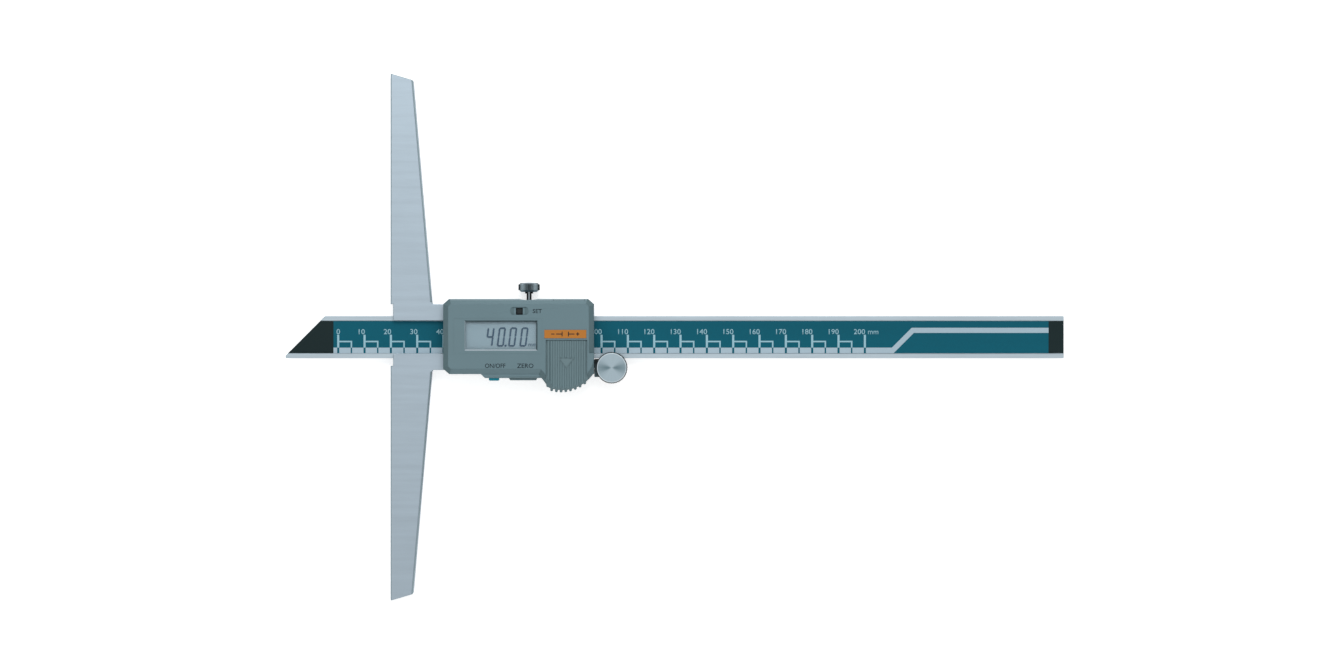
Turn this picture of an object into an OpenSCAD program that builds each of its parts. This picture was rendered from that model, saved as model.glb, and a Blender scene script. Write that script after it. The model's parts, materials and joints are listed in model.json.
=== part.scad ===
// Digital depth gauge with a T-shaped base, lying on its back with its display up.
// X runs along the depth rod, Y along the base and Z up through the thickness.
// The origin is on the back plane, where the rod's centre line crosses the measuring face.

/* [Depth rod] */
// Reading that the rod is set at
reading = 40; // [0:1:200]
// Length of the rod
rod_l = 295.5; // [280:0.5:330]
// Width of the rod
rod_w = 16; // [15.5:0.1:17]
// Thickness of the rod
rod_t = 3.5; // [3.2:0.1:4]
// Width of the flat at the tip, below the slope
tip_flat = 1; // [0.5:0.1:3]
// Width of the recess that the scale lies in
recess_w = 12.4; // [11.8:0.1:12.6]
// Depth of that recess
recess_d = 0.8; // [0.7:0.05:1]
// Distance of the stop plate from the rod's far end
stop_inset = 9.5; // [4:0.5:12]
// Length of the stop plate along the rod
stop_l = 6; // [5:0.5:8]
// Width of the stop plate
stop_w = 10; // [8:0.5:12]
// Thickness of the stop plate
stop_t = 1.5; // [1:0.1:1.8]

/* [Scale] */
// Length that the scale measures
scale_l = 200; // [150:10:200]
// Distance from the rod's tip to the zero mark
scale_zero = 20; // [18.5:0.5:25]
// Step between the numbered marks
mark_step = 10; // [5:5:20]
// Width of a numbered mark
mark_w = 0.8; // [0.4:0.05:1]
// Width of the line that marks half a step
half_mark_w = 0.55; // [0.3:0.05:0.8]
// Height of the numbered marks above the rod's centre line
mark_top = 0.9; // [0.5:0.1:2]
// Height of the half marks below the rod's centre line
half_mark_top = 1.4; // [1:0.1:2]
// Height of the light band along the scale's lower edge
band_h = 2.1; // [1.5:0.1:3]
// Width of the stripe that the band turns into
stripe_w = 1.95; // [1:0.05:3]
// Height of the stripe's lower edge above the rod's centre line
stripe_y = 1.6; // [0.5:0.1:2.5]
// Distance of the band's bend from the zero mark
bend_x = 210.9; // [205:0.1:220]
// Distance from the rod's tip to the film
film_start = 18.2; // [17:0.1:18.4]
// Distance from the film to the rod's far end
film_end = 5.75; // [2:0.25:12]
// Thickness of the black strip under the film
strip_t = 0.35; // [0.2:0.05:0.4]
// Thickness of the film
film_t = 0.15; // [0.1:0.01:0.2]
// Thickness of the print on the film
print_t = 0.04; // [0.03:0.01:0.06]

/* [Base] */
// Length of the measuring face
base_l = 200; // [150:1:320]
// Thickness of the base
base_t = 8; // [7.5:0.1:9]
// Width of a blade where it leaves the neck
blade_root = 15.7; // [13:0.1:18]
// Width of a blade at its end
blade_end = 8.5; // [6:0.1:12]
// Slope of the blade's end, as the height of its front corner over its back corner
blade_slope = 2.5; // [0:0.1:5]
// Radius of the back corner at a blade's end
blade_tip_r = 0.8; // [0.2:0.1:2]
// Bevel along the blades' back edges
blade_bevel = 0.5; // [0.4:0.1:1.5]
// Small bevel along the measuring face
face_bevel = 0.25; // [0.1:0.05:0.5]
// Depth of the relief in the measuring face
relief_d = 0.95; // [0.5:0.05:1.5]
// Reach of the relief below the rod's centre line
relief_low = 10.9; // [9:0.1:12]
// Reach of the relief above the rod's centre line
relief_high = 12.5; // [9:0.1:13]
// Length of the neck between the blades and the housing
neck_l = 4.5; // [3:0.1:8]
// How much wider the neck is than the channel behind it, on each side
neck_step = 0.5; // [0.3:0.1:1]
// Radius of the corner between neck and blade
neck_fillet = 0.6; // [0.3:0.1:2]
// Width of the channel's body under the housing
slider_w = 24; // [23.5:0.1:26]
// Thickness of the web behind the rod
web_t = 2.35; // [2:0.05:2.6]
// Running gap round the rod
slide_gap = 0.05; // [0.03:0.01:0.08]
// Strip of land that the lips leave bare beside the scale's recess
lip_margin = 0.2; // [0.1:0.05:0.5]

/* [Gib and lock] */
// Thickness of the gib strip
gib_t = 0.8; // [0.6:0.05:1]
// How far the gib strip stays inside each end of the channel
gib_inset = 1.5; // [1:0.5:4]
// Radius of the gib screws
gib_screw_r = 0.8; // [0.6:0.05:0.9]
// Distances of the gib screws from the housing's ends
gib_screw_inset = 12; // [9:0.5:14]
// Distance of the lock screw from the housing's front end
lock_inset = 32.25; // [30:0.25:36]
// Radius of the lock screw's stem
lock_r = 0.97; // [0.8:0.01:1.1]
// Gap between the lock pad and the gib strip while the rod is free
lock_free = 0.3; // [0.25:0.01:0.4]
// Length of the lock pad
lock_pad_l = 1.2; // [0.8:0.1:1.3]
// Radius of the lock screw's head
lock_head_r = 4.06; // [3.5:0.01:4.1]
// Height of the head over the housing's edge, from the underside of the head
lock_head_rise = 2.65; // [2:0.05:4]
// Length of the knurled band on the head
lock_band = 2.2; // [1.5:0.1:3]
// Number of flutes in the head's knurl
lock_flutes = 40; // [24:1:48]
// Depth of the flutes there and on the thumb wheel
flute_d = 0.2; // [0.1:0.01:0.25]

/* [Housing] */
// Thickness of the housing's walls
wall = 1.5; // [1.2:0.1:1.6]
// Thickness of its long wall beside the lock screw
wall_high = 2.4; // [2:0.1:3]
// Thickness of its long wall beside the buttons
wall_low = 1.9; // [1.8:0.1:2.5]
// Thickness of its front wall
front_t = 1.7; // [1.65:0.05:1.9]
// Gap between pieces that are assembled loosely
fit_gap = 0.1; // [0.05:0.01:0.12]
// Height of the housing's back edge over the back plane
back_inset = 0.6; // [0.3:0.1:1.5]
// Width of the bevel round the housing's face
face_edge = 2; // [1.2:0.1:2.1]
// Depth of that bevel
face_drop = 2; // [1:0.1:2.2]
// Size of the cut corners, along the rod
corner_x = 2.3; // [1:0.1:3]
// Size of the cut corners, across the rod
corner_y = 2; // [1:0.1:3]
// Depth of the scoop round the lock screw
scoop_d = 0.45; // [0.2:0.05:0.8]
// Width of that scoop
scoop_w = 7; // [5:0.1:9]
// Distance from the battery cover to the housing's far end
end_margin = 2.7; // [2:0.1:4]

/* [Display] */
// Distance of the window from the housing's front end
window_inset = 8.1; // [7.6:0.1:10]
// Length of the window
window_l = 27.6; // [27:0.1:30]
// Height of the window's upper edge over the rod's centre line
window_high = 6.3; // [6:0.1:6.4]
// Depth of its lower edge under the rod's centre line
window_low = 5.1; // [4.8:0.1:5.2]
// Width of the sloping edge inside the window
window_bevel = 0.45; // [0.2:0.05:0.6]
// Width of the bezel at the window's front end
bezel_front = 4; // [2:0.1:4.2]
// Width of the bezel at the window's other end
bezel_rear = 1.7; // [1.2:0.1:2]
// Width of the bezel above the window
bezel_high = 0.7; // [0.6:0.05:0.9]
// Width of the bezel below the window
bezel_low = 1.1; // [0.7:0.05:1.5]
// Thickness of the bezel
bezel_t = 0.75; // [0.6:0.05:0.8]
// Thickness of the clear window
lens_t = 0.55; // [0.4:0.05:0.6]
// Thickness of each of the display's two glasses
glass_t = 1; // [0.6:0.1:1.1]
// Thickness of the circuit board
board_t = 0.8; // [0.6:0.1:1]
// Thickness of the sensor board
sensor_t = 0.8; // [0.6:0.1:1]
// Gap between the sensor board and the scale
sensor_gap = 0.2; // [0.15:0.01:0.3]

/* [Battery] */
// Diameter of the coin cell
battery_d = 11.6; // [10:0.1:12]
// Thickness of the coin cell
battery_t = 5.4; // [4.8:0.1:6]
// Thickness of the bay's floor
floor_t = 0.95; // [0.8:0.05:1.2]
// Thickness of the contact strips
contact_t = 0.2; // [0.15:0.01:0.3]
// Height of the dimple that presses on the cell
dimple_h = 0.2; // [0.1:0.01:0.3]
// Distance of the cover from the window
cover_gap = 3.3; // [3.2:0.1:5]
// Width of the cover
cover_w = 15.3; // [15:0.1:17]
// Depth of the cover's straight edge under the rod's centre line
cover_top = 1.2; // [0.8:0.1:1.4]
// Thickness of the cover's plate
cover_t = 0.9; // [0.7:0.05:1.1]
// Height of the ribs on the cover
rib_h = 0.5; // [0.3:0.05:0.6]
// Number of ribs between the cover's two edges
rib_count = 7; // [5:1:9]
// Radius of the cover's round end
bay_r = 14.05; // [13.5:0.05:14.5]
// Thickness of the wall at that end
bay_wall = 1.3; // [1:0.1:1.4]
// Reach of the longest tooth on the round end
tooth_h = 1.1; // [0.5:0.05:1.3]
// How much each tooth is shorter than the last
tooth_fall = 0.06; // [0:0.01:0.08]
// Width of the arrow on the cover
arrow_w = 5.1; // [3:0.1:6]
// Length of the arrow
arrow_l = 3.4; // [2:0.1:5]
// Height of the label strip
label_h = 3.25; // [2:0.05:4]
// Thickness of the label strip
label_t = 0.15; // [0.1:0.01:0.2]

/* [Buttons and port] */
// Distance of the on/off button from the housing's front end
power_inset = 17.2; // [12:0.1:18]
// Length of the on/off button
power_l = 3.9; // [3:0.1:4.2]
// Distance of the zero button from the housing's front end
zero_inset = 24.8; // [24:0.1:25]
// Length of the zero button
zero_l = 10.8; // [9:0.1:11]
// Travel of the two side buttons
press = 0.5; // [0.4:0.05:0.6]
// How far the side buttons stand out of the housing
button_out = 1; // [0.8:0.05:1.5]
// Height of the side buttons, front to back
button_h = 3.2; // [2.4:0.1:3.4]
// Depth of the bump that carries the side buttons
bump_d = 1.5; // [1:0.1:2]
// Distance of the set button from the housing's front end
set_inset = 28.85; // [25:0.05:30]
// Distance of the set button from the rod's centre line
set_y = 9.75; // [9.6:0.05:10]
// Width of the set button
set_w = 1.9; // [1.5:0.1:2.1]
// Travel of the set button
set_press = 0.4; // [0.3:0.05:0.5]
// Distance of the port's cover from the battery cover's front edge
port_inset = 2.8; // [2.6:0.1:3.6]
// Length of the port's cover
port_l = 11.7; // [10:0.1:12]
// Depth of the port's cover in the wall
port_t = 1.1; // [0.9:0.05:1.2]
// Height of the opening for the plug
port_h = 2.8; // [2:0.1:3]

/* [Thumb wheel] */
// Radius of the thumb wheel's knurled rim
wheel_r = 6.05; // [5.5:0.05:7]
// Thickness of the thumb wheel
wheel_t = 3.5; // [2.5:0.1:4]
// Width of the bevel between rim and face
wheel_bevel = 0.45; // [0.2:0.05:0.8]
// Number of flutes in the rim
wheel_flutes = 60; // [30:1:72]
// Radius of the roller that drives the rod
roller_r = 3.55; // [3.2:0.05:4]
// Radius of the wheel's shaft
shaft_r = 1.5; // [1:0.05:1.7]
// Thickness of the bracket's arms
arm_t = 0.9; // [0.7:0.05:1]

/* [Hidden] */
$fn = 48;

// Room for cuts to run clear of a face
over = 1;
// Gap round a seated piece, and play round the wheel's shaft
seat_gap = 0.05;
// Gap round a screw's thread
screw_gap = 0.02;
// Play round the lock screw
turn_gap = 0.03;

// Rod and channel
rod_x = -reading;
rod_z = web_t + slide_gap;
rod_top = rod_z + rod_t;
mid_z = rod_z + rod_t / 2;
channel_low = rod_w / 2 + slide_gap;
channel_high = rod_w / 2 + gib_t + 2 * slide_gap;
lip_open = recess_w + 2 * lip_margin;

// Housing: plan
slider_y = slider_w / 2;
housing_x = blade_root + neck_l;
housing_high = slider_y + fit_gap + wall_high;
housing_low = slider_y + fit_gap + wall_low;
window_x = housing_x + window_inset;
window_end = window_x + window_l;
cover_x = window_end + cover_gap;
cover_end = cover_x + cover_w;
cover_mid = cover_x + cover_w / 2;
housing_end = cover_end + end_margin;
slider_end = housing_end - 0.2;
corner_drop = face_drop + 0.1;
inner_high = housing_high - wall;
inner_low = housing_low - wall;

// Housing: height. The cell sets how deep the housing is
floor_z = base_t + 0.15;
board_top = floor_z + floor_t;
battery_z = board_top + contact_t + dimple_h;
cover_z = battery_z + battery_t + 0.2;
front_z = cover_z + cover_t + rib_h + 0.1;
ceiling_z = front_z - front_t;
bay_z = base_t - 0.9;

// Battery bay: a round end about a centre of its own, and a straight flank
bay_x = cover_x + 6.1;
bay_y = -6;
bay_inner_r = bay_r - bay_wall;
battery_r = battery_d / 2;
battery_x = cover_mid - 0.25;
battery_reach = bay_inner_r - fit_gap - 0.15 - battery_r;
battery_y = bay_y - sqrt(pow(battery_reach, 2) - pow(battery_x - bay_x, 2));
chamber_r = battery_r + 0.15;
flank_x = cover_x - 4.4;
flank_y = -housing_low + 2;
flank_angle = 53.13;
bay_side = cover_x - 1;
rib_edge = 0.8;
rib_pitch = (cover_w - 2.5 * rib_edge - rib_edge) / rib_count;
strip_w = 1;
// Upright leaf of the positive contact
leaf_w = 4;
leaf_h = 4.4;
// Tongues along the cover's sides, which run in the housing's grooves
tongue_w = 0.4;
tongue_t = 0.5;
tongue_y = -cover_top - 1;

// Display stack
bezel_x = window_x - bezel_front;
bezel_end = window_end + bezel_rear;
pocket_z = front_z - seat_gap - bezel_t;
lens_margin = 0.4;
lens_z = pocket_z - seat_gap - lens_t;
lcd_top = ceiling_z - 0.4;
lcd_x = housing_x + 6.4;
lcd_end = bay_side - 0.8;
lcd_high = window_high + 1.6;
lcd_low = window_low + 1.9;
board_z = board_top - board_t;
board_x = housing_x + 7;
board_end = bay_side - 0.3;
sensor_z = rod_top - recess_d + strip_t + film_t + print_t + sensor_gap;
sensor_w = recess_w - 0.4;
connector_w = 1.2;

// Screws from the back into the housing's bosses
screw_r = 0.8;
screw_head_r = 1.3;
screw_head_t = 0.9;
boss_r = 1.7;
screw_x = [housing_x + 4.7, bay_side + 1.5];
screw_low = -(channel_low + slider_y) / 2;
screw_high = (channel_high + slider_y) / 2;
screw_places = [
    for (x = screw_x, y = [screw_low, screw_high]) [x, y]
];

// Buttons
power_x = housing_x + power_inset;
zero_x = housing_x + zero_inset;
button_z = board_top + 0.3;
button_out_y = -housing_low - bump_d - button_out;
flange_y = -inner_low + 0.15;
flange_t = 0.6;
flange_side = 0.65;
plunger_y = flange_y + flange_t + press + 0.1;
bump_x = power_x - 2.95;
bump_end = cover_x - 1.6;
set_x = housing_x + set_inset;
set_recess = 0.7;
set_flange_t = 0.75;

// Data port
port_x = cover_x + port_inset;
port_mid = port_x + port_l / 2;
plug_w = port_l - 4.2;
plug_z = board_top + 0.5;
port_z = base_t - 1.5;

// Thumb wheel
wheel_x = housing_end + wheel_r + 0.65;
wheel_y = -(rod_w / 2 + slide_gap + roller_r);
arm_z = rod_top + 0.2;
wheel_z = arm_z + arm_t + 0.3;
foot_z = 0.1;
foot_t = 1.4;
foot_x = slider_end - 11;
low_arm_z = rod_z - 0.5 - arm_t;
clip_t = 0.4;

// Lock screw
lock_x = housing_x + lock_inset;
pad_y = channel_high + lock_free - slide_gap;
lock_tip = pad_y + lock_pad_l + slide_gap;
lock_head_y = housing_high + lock_head_rise;

// Colours
steel = [0.68, 0.75, 0.79];
dark_steel = [0.3, 0.33, 0.34];
teal = [0.11, 0.34, 0.42];
light_print = [0.6, 0.74, 0.8];
black = [0.11, 0.13, 0.13];
case_grey = [0.41, 0.49, 0.51];
orange = [0.75, 0.48, 0.22];
brass = [0.75, 0.62, 0.35];
gold = [0.85, 0.7, 0.35];
board_green = [0.1, 0.35, 0.2];

// Points of a straight knurl: round flutes become two sides each
function knurl(r, d, n) = [
    for (i = [0 : 2 * n - 1]) (i % 2 == 0 ? r : r - d) * [cos(i * 180 / n), sin(i * 180 / n)]
];

// Y of the bay's round end at a place along the rod
function bay_edge(x) = bay_y - sqrt(pow(bay_r, 2) - pow(x - bay_x, 2));

// A box from its lowest to its highest corner
module block(low, high) {
    translate(low)
        cube(high - low);
}

// A round bar along Y from one place to another
module bar_y(x, z, r, from, to) {
    translate([x, from, z])
        rotate([-90, 0, 0])
            cylinder(r = r, h = to - from);
}

// Cuts the upper edge of what lies on the left of the line from p to q
module edge_cut(p, q, width, drop, z, past = 6) {
    d = q - p;
    slope = drop / width;
    translate([p[0], p[1], z])
        rotate([0, 0, atan2(d[1], d[0])])
            translate([-past, 0, 0])
                rotate([90, 0, 90])
                    linear_extrude(norm(d) + 2 * past)
                        polygon([[-over, -drop - slope * over], [width + over, slope * over],
                            [-over, slope * over]]);
}

// A rectangle with round corners
module round_rect(low, high, r) {
    translate([low[0] + r, low[1]])
        square([high[0] - low[0] - 2 * r, high[1] - low[1]]);
    translate([low[0], low[1] + r])
        square([high[0] - low[0], high[1] - low[1] - 2 * r]);
    for (x = [low[0] + r, high[0] - r], y = [low[1] + r, high[1] - r])
        translate([x, y])
            circle(r);
}

// Points that round the corner b of the path a, b, c
function rounded(a, b, c, r, steps = 6) =
    let (u = (a - b) / norm(a - b), v = (c - b) / norm(c - b), half = acos(u * v) / 2,
        mid = b + r / sin(half) * (u + v) / norm(u + v),
        from = b + r / tan(half) * u - mid, to = b + r / tan(half) * v - mid)
    [for (i = [0 : steps]) let (d = (steps - i) * from + i * to) mid + r * d / norm(d)];

// Outline of the base: two tapered blades and the neck
module base_outline() {
    half = base_l / 2;
    back = half - blade_slope;
    root = slider_y + neck_step;
    difference() {
        union() {
            for (side = [0, 1])
                mirror([0, side])
                    polygon(concat([[0, -over], [0, half]],
                        rounded([0, half], [blade_end, back], [blade_root, root], blade_tip_r),
                        [[blade_root, root], [blade_root, -over]]));
            translate([blade_root - over, -root])
                square([neck_l + over, 2 * root]);
            for (y = [root, -root - neck_fillet])
                translate([blade_root - over, y])
                    square([neck_fillet + over, neck_fillet]);
        }
        for (side = [-1, 1])
            translate([blade_root + neck_fillet, side * (root + neck_fillet)])
                circle(neck_fillet);
        translate([-over, -relief_low])
            square([relief_d + over, relief_low + relief_high]);
    }
}

module base_frame() {
    half = base_l / 2;
    foot = [blade_root, slider_y + neck_step];
    tip = [blade_end, half - blade_slope];
    along = (tip - foot) / norm(tip - foot);
    color(steel)
    difference() {
        union() {
            linear_extrude(base_t)
                base_outline();
            block([blade_root, -slider_y, 0], [slider_end, slider_y, base_t]);
        }
        // Bevels along the blades, which stop short of the neck and run out at the end
        for (side = [0, 1])
            mirror([0, side, 0]) {
                edge_cut(foot + 1.3 * neck_fillet * along, tip + 2 * along, blade_bevel,
                    blade_bevel, base_t, 0);
                edge_cut([0, half + over], [0, (side == 0 ? relief_high : relief_low) - over],
                    face_bevel, face_bevel, base_t, 0);
            }
        // Channel for the rod and the gib, and the window between the lips
        block([-over, -channel_low, web_t], [slider_end + over, channel_high, rod_top + slide_gap]);
        block([-over, -lip_open / 2, web_t], [slider_end + over, lip_open / 2, base_t + over]);
        // Lock screw and gib screws
        bar_y(lock_x, mid_z, lock_r + turn_gap, 0, slider_y + over);
        for (x = gib_places())
            bar_y(x, mid_z, gib_screw_r + screw_gap, 0, slider_y + over);
        // Housing screws
        for (p = screw_places)
            translate([p[0], p[1], 0]) {
                translate([0, 0, -over])
                    cylinder(r = screw_r + 0.1, h = base_t + 2 * over);
                translate([0, 0, -over])
                    cylinder(r = screw_head_r + 0.1, h = screw_head_t + 0.1 + over);
            }
        // Seat of the wheel bracket's foot, and its screw holes
        block([foot_x - fit_gap, -slider_y - over, -over],
            [slider_end + over, -channel_low - 0.5, foot_z + foot_t]);
        for (x = foot_screw_x())
            translate([x, screw_low, 0])
                cylinder(r = screw_r + screw_gap, h = foot_z + foot_t + 3.2);
    }
}

function gib_places() = [housing_x + gib_screw_inset, housing_end - gib_screw_inset];

function foot_screw_x() = [foot_x + 2.6, slider_end - 2.6];

module gib_strip() {
    color(brass)
        block([relief_d + gib_inset, rod_w / 2 + slide_gap, rod_z + slide_gap],
            [slider_end - gib_inset, rod_w / 2 + slide_gap + gib_t, rod_top - slide_gap]);
}

module gib_screws() {
    color(dark_steel)
    for (x = gib_places())
        difference() {
            bar_y(x, mid_z, gib_screw_r, rod_w / 2 + slide_gap + gib_t, slider_y - 0.1);
            block([x - gib_screw_r, slider_y - 0.5, mid_z - 0.15],
                [x + gib_screw_r, slider_y, mid_z + 0.15]);
        }
}

// The housing's plain block with its bevelled face
module housing_block() {
    low = -housing_low;
    corners = [
        [housing_x + corner_x, low], [housing_end, low], [housing_end, housing_high - corner_y],
        [housing_end - corner_x, housing_high], [housing_x + corner_x, housing_high],
        [housing_x, housing_high - corner_y], [housing_x, low + corner_y]
    ];
    n = len(corners);
    difference() {
        translate([0, 0, back_inset])
            linear_extrude(front_z - back_inset)
                polygon(corners);
        for (i = [0 : n - 1]) {
            p = corners[i];
            q = corners[(i + 1) % n];
            slant = p[0] != q[0] && p[1] != q[1];
            edge_cut(p, q, face_edge, slant ? corner_drop : face_drop, front_z);
        }
    }
}

// Plan of the battery bay: a straight flank, a round end and the housing's own end
module bay_outline(r) {
    intersection() {
        translate([bay_x, bay_y])
            circle(r);
        translate([flank_x, flank_y])
            rotate(-flank_angle)
                square([40, 40]);
        translate([flank_x - 5, bay_y - 2 * bay_r])
            square([housing_end - flank_x + 5, 2 * bay_r]);
    }
}

// Cuts the upper edge of the bay's round end and flank
module bay_bevels(r) {
    translate([bay_x, bay_y, front_z])
        rotate_extrude()
            polygon([[r - face_edge - over, over * face_drop / face_edge],
                [r + over, -face_drop - over * face_drop / face_edge],
                [r + over, over * face_drop / face_edge]]);
    edge_cut([flank_x, flank_y],
        [flank_x + 10 * cos(flank_angle), flank_y - 10 * sin(flank_angle)],
        face_edge, face_drop, front_z);
}

module bay_block(r = bay_r) {
    difference() {
        translate([0, 0, bay_z])
            linear_extrude(front_z - bay_z)
                bay_outline(r);
        bay_bevels(r);
    }
}

// The bump on the lower edge that the side buttons come out of
module button_bump() {
    y = -housing_low;
    top = front_z - face_drop - 0.15;
    difference() {
        translate([0, 0, bay_z])
            linear_extrude(top - bay_z)
                polygon([[bump_x, y], [bump_x + bump_d, y - bump_d], [bump_end, y - bump_d],
                    [bump_end, y + over], [bump_x, y + over]]);
        edge_cut([bump_x, y - bump_d], [bump_end, y - bump_d], 0.5, 0.5, top);
    }
}

module housing_shape() {
    housing_block();
    bay_block();
    button_bump();
}

// Where the port's cover lies in the upper wall
module port_seat(gap) {
    block([port_x - gap, housing_high - port_t - gap, port_z - gap],
        [port_x + port_l + gap, housing_high + over, front_z - 1.5 + gap]);
}

module housing() {
    color(case_grey)
    difference() {
        housing_shape();
        // Room for the channel's body, through both ends
        block([housing_x - over, -slider_y - fit_gap, -over],
            [housing_end + over, slider_y + fit_gap, floor_z]);
        // Room for the boards and the display, beside the bay
        difference() {
            block([housing_x + wall, -inner_low, floor_z],
                [housing_end - wall, inner_high, ceiling_z]);
            block([bay_side, -inner_low - over, floor_z - over],
                [housing_end, -cover_top + 0.9, ceiling_z + over]);
            for (p = screw_places)
                translate([p[0], p[1], floor_z - over])
                    cylinder(r = boss_r, h = front_z);
        }
        for (p = screw_places)
            translate([p[0], p[1], 0])
                cylinder(r = screw_r + screw_gap, h = floor_z + 3.6);
        // Window, its ledge and the bezel's pocket
        block([bezel_x - seat_gap, -window_low - bezel_low - seat_gap, pocket_z],
            [bezel_end + seat_gap, window_high + bezel_high + seat_gap, front_z + over]);
        block([window_x - lens_margin - seat_gap, -window_low - lens_margin - seat_gap, lens_z],
            [window_end + lens_margin + seat_gap, window_high + lens_margin + seat_gap, front_z]);
        block([window_x, -window_low, ceiling_z - over], [window_end, window_high, front_z]);
        // Battery chamber, the cover's pocket and the room for its end wall
        translate([battery_x, battery_y, board_top]) {
            cylinder(r = chamber_r, h = front_z);
            translate([-battery_r + 1, -3 * battery_r, 0])
                cube([2 * battery_r - 2, 3 * battery_r, front_z]);
        }
        cover_pocket();
        contact_slots();
        // Side buttons
        button_hole(power_x, power_l);
        button_hole(zero_x, zero_l);
        set_hole();
        // Lock screw and the scoop round it
        bar_y(lock_x, mid_z, lock_r + 0.3, slider_y - over, housing_high + over);
        scoop_r = (pow(scoop_w / 2, 2) + pow(scoop_d, 2)) / (2 * scoop_d);
        translate([lock_x, housing_high - scoop_d + scoop_r, 0])
            cylinder(r = scoop_r, h = front_z + over);
        // Data port
        port_seat(seat_gap);
        block([port_mid - plug_w / 2, inner_high - over, plug_z],
            [port_mid + plug_w / 2, housing_high, plug_z + port_h]);
        // Seat of the label strip
        block([cover_x - 0.75, -cover_top + 0.75, front_z - 0.1],
            [cover_end - 0.1, -cover_top + 0.75 + label_h, front_z + over]);
    }
}

// Room for the battery cover: its plate, its side tongues and its end wall
module cover_pocket() {
    low = bay_y - 2 * bay_r;
    side = tongue_w + fit_gap;
    block([cover_x - fit_gap, low, cover_z],
        [cover_end + fit_gap, -cover_top + fit_gap, front_z + over]);
    block([cover_x - side, low, cover_z],
        [cover_end + side, tongue_y + 0.2, cover_z + tongue_t + fit_gap]);
    difference() {
        block([cover_x - fit_gap, low, floor_z],
            [cover_end + fit_gap, -housing_low, cover_z + over]);
        translate([bay_x, bay_y, 0])
            cylinder(r = bay_inner_r - fit_gap, h = front_z);
    }
}

// Slots for the contact strips, from the board into the chamber
module contact_slots() {
    block([bay_side - over, strip_y() - 0.1, board_top],
        [battery_x, strip_y() + strip_w + 0.1, board_top + contact_t + 0.1]);
    block([bay_side - over, leaf_y() - 0.1, board_top],
        [battery_x - 1, leaf_y() + 1.85, board_top + contact_t + 0.1]);
    block([battery_x - leaf_w / 2 - 0.2, leaf_y() - 0.3, board_top],
        [battery_x + leaf_w / 2 + 0.2, leaf_y() + 1.85, board_top + leaf_h + 0.2]);
}

// Lower edge of the negative contact's strip, clear of the housing's wall and its boss
function strip_y() = -inner_low + 0.4;

// Y of the positive contact's leaf, just off the cell's rim
function leaf_y() = battery_y + battery_r + seat_gap;

// A hole for a side button, with room behind it for the button's flange
module button_hole(x, l) {
    gap = 0.2;
    block([x - gap, -housing_low - bump_d - over, button_z - gap],
        [x + l + gap, -inner_low + over, button_z + button_h + gap]);
}

// The scooped slot on the face and the square hole of the set button
module set_hole() {
    low = set_y - 1.35;
    high = set_y + 1.65;
    r = 1.3;
    ramp = 1.55;
    intersection() {
        translate([0, 0, front_z - set_recess])
            linear_extrude(set_recess + over)
                round_rect([set_x - 3.55, low], [set_x + 3.55, high], r);
        translate([0, high + over, front_z])
            rotate([90, 0, 0])
                linear_extrude(high - low + 2 * over)
                    polygon([[set_x - 3.55, 0], [set_x - 3.55 + ramp, -set_recess],
                        [set_x + 3.55 - ramp, -set_recess], [set_x + 3.55, 0],
                        [set_x + 3.55, over], [set_x - 3.55, over]]);
    }
    block([set_x - set_w / 2 - 0.35, set_y - set_w / 2 - 0.35, ceiling_z - over],
        [set_x + set_w / 2 + 0.35, set_y + set_w / 2 + 0.35, front_z]);
}

module housing_screws() {
    color(dark_steel)
    for (p = screw_places)
        back_screw(p[0], p[1], 0, floor_z + 3.2);
}

// A screw from the back, with a slotted head that lies in its counterbore
module back_screw(x, y, z, to) {
    translate([x, y, z])
    difference() {
        union() {
            translate([0, 0, 0.1])
                cylinder(r = screw_head_r, h = screw_head_t);
            cylinder(r = screw_r, h = to - z);
        }
        block([-screw_head_r, -0.2, -over], [screw_head_r, 0.2, 0.4]);
    }
}

module display_bezel() {
    color(case_grey)
    difference() {
        translate([0, 0, pocket_z])
            linear_extrude(bezel_t)
                round_rect([bezel_x, -window_low - bezel_low],
                    [bezel_end, window_high + bezel_high], 0.5);
        intersection() {
            translate([0, window_high + over, pocket_z])
                rotate([90, 0, 0])
                    linear_extrude(window_low + window_high + 2 * over)
                        window_profile(window_x, window_end);
            translate([window_x - over, 0, pocket_z])
                rotate([90, 0, 90])
                    linear_extrude(window_l + 2 * over)
                        window_profile(-window_low, window_high);
        }
    }
}

// Section of the window's opening: straight at the foot, then sloping out to the face
module window_profile(low, high) {
    foot = 0.2;
    polygon([[low + window_bevel, -over], [high - window_bevel, -over], [high - window_bevel, foot],
        [high, bezel_t], [high, bezel_t + over], [low, bezel_t + over], [low, bezel_t],
        [low + window_bevel, foot]]);
}

module display_window() {
    color([0.8, 0.88, 0.92, 0.5])
        block([window_x - lens_margin, -window_low - lens_margin, lens_z],
            [window_end + lens_margin, window_high + lens_margin, lens_z + lens_t]);
}

module lcd_module() {
    color([0.6, 0.68, 0.72]) {
        block([lcd_x, -lcd_low, lcd_top - glass_t], [lcd_end, lcd_high, lcd_top]);
        block([lcd_x, -lcd_low + connector_w + 0.2, lcd_top - 2 * glass_t],
            [lcd_end, lcd_high - connector_w - 0.2, lcd_top - glass_t]);
    }
}

module lcd_connectors() {
    color([0.85, 0.5, 0.5])
    for (y = [-lcd_low + seat_gap, lcd_high - seat_gap - connector_w])
        block([lcd_x + 2, y, board_top], [lcd_end - 2, y + connector_w, lcd_top - glass_t]);
}

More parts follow.
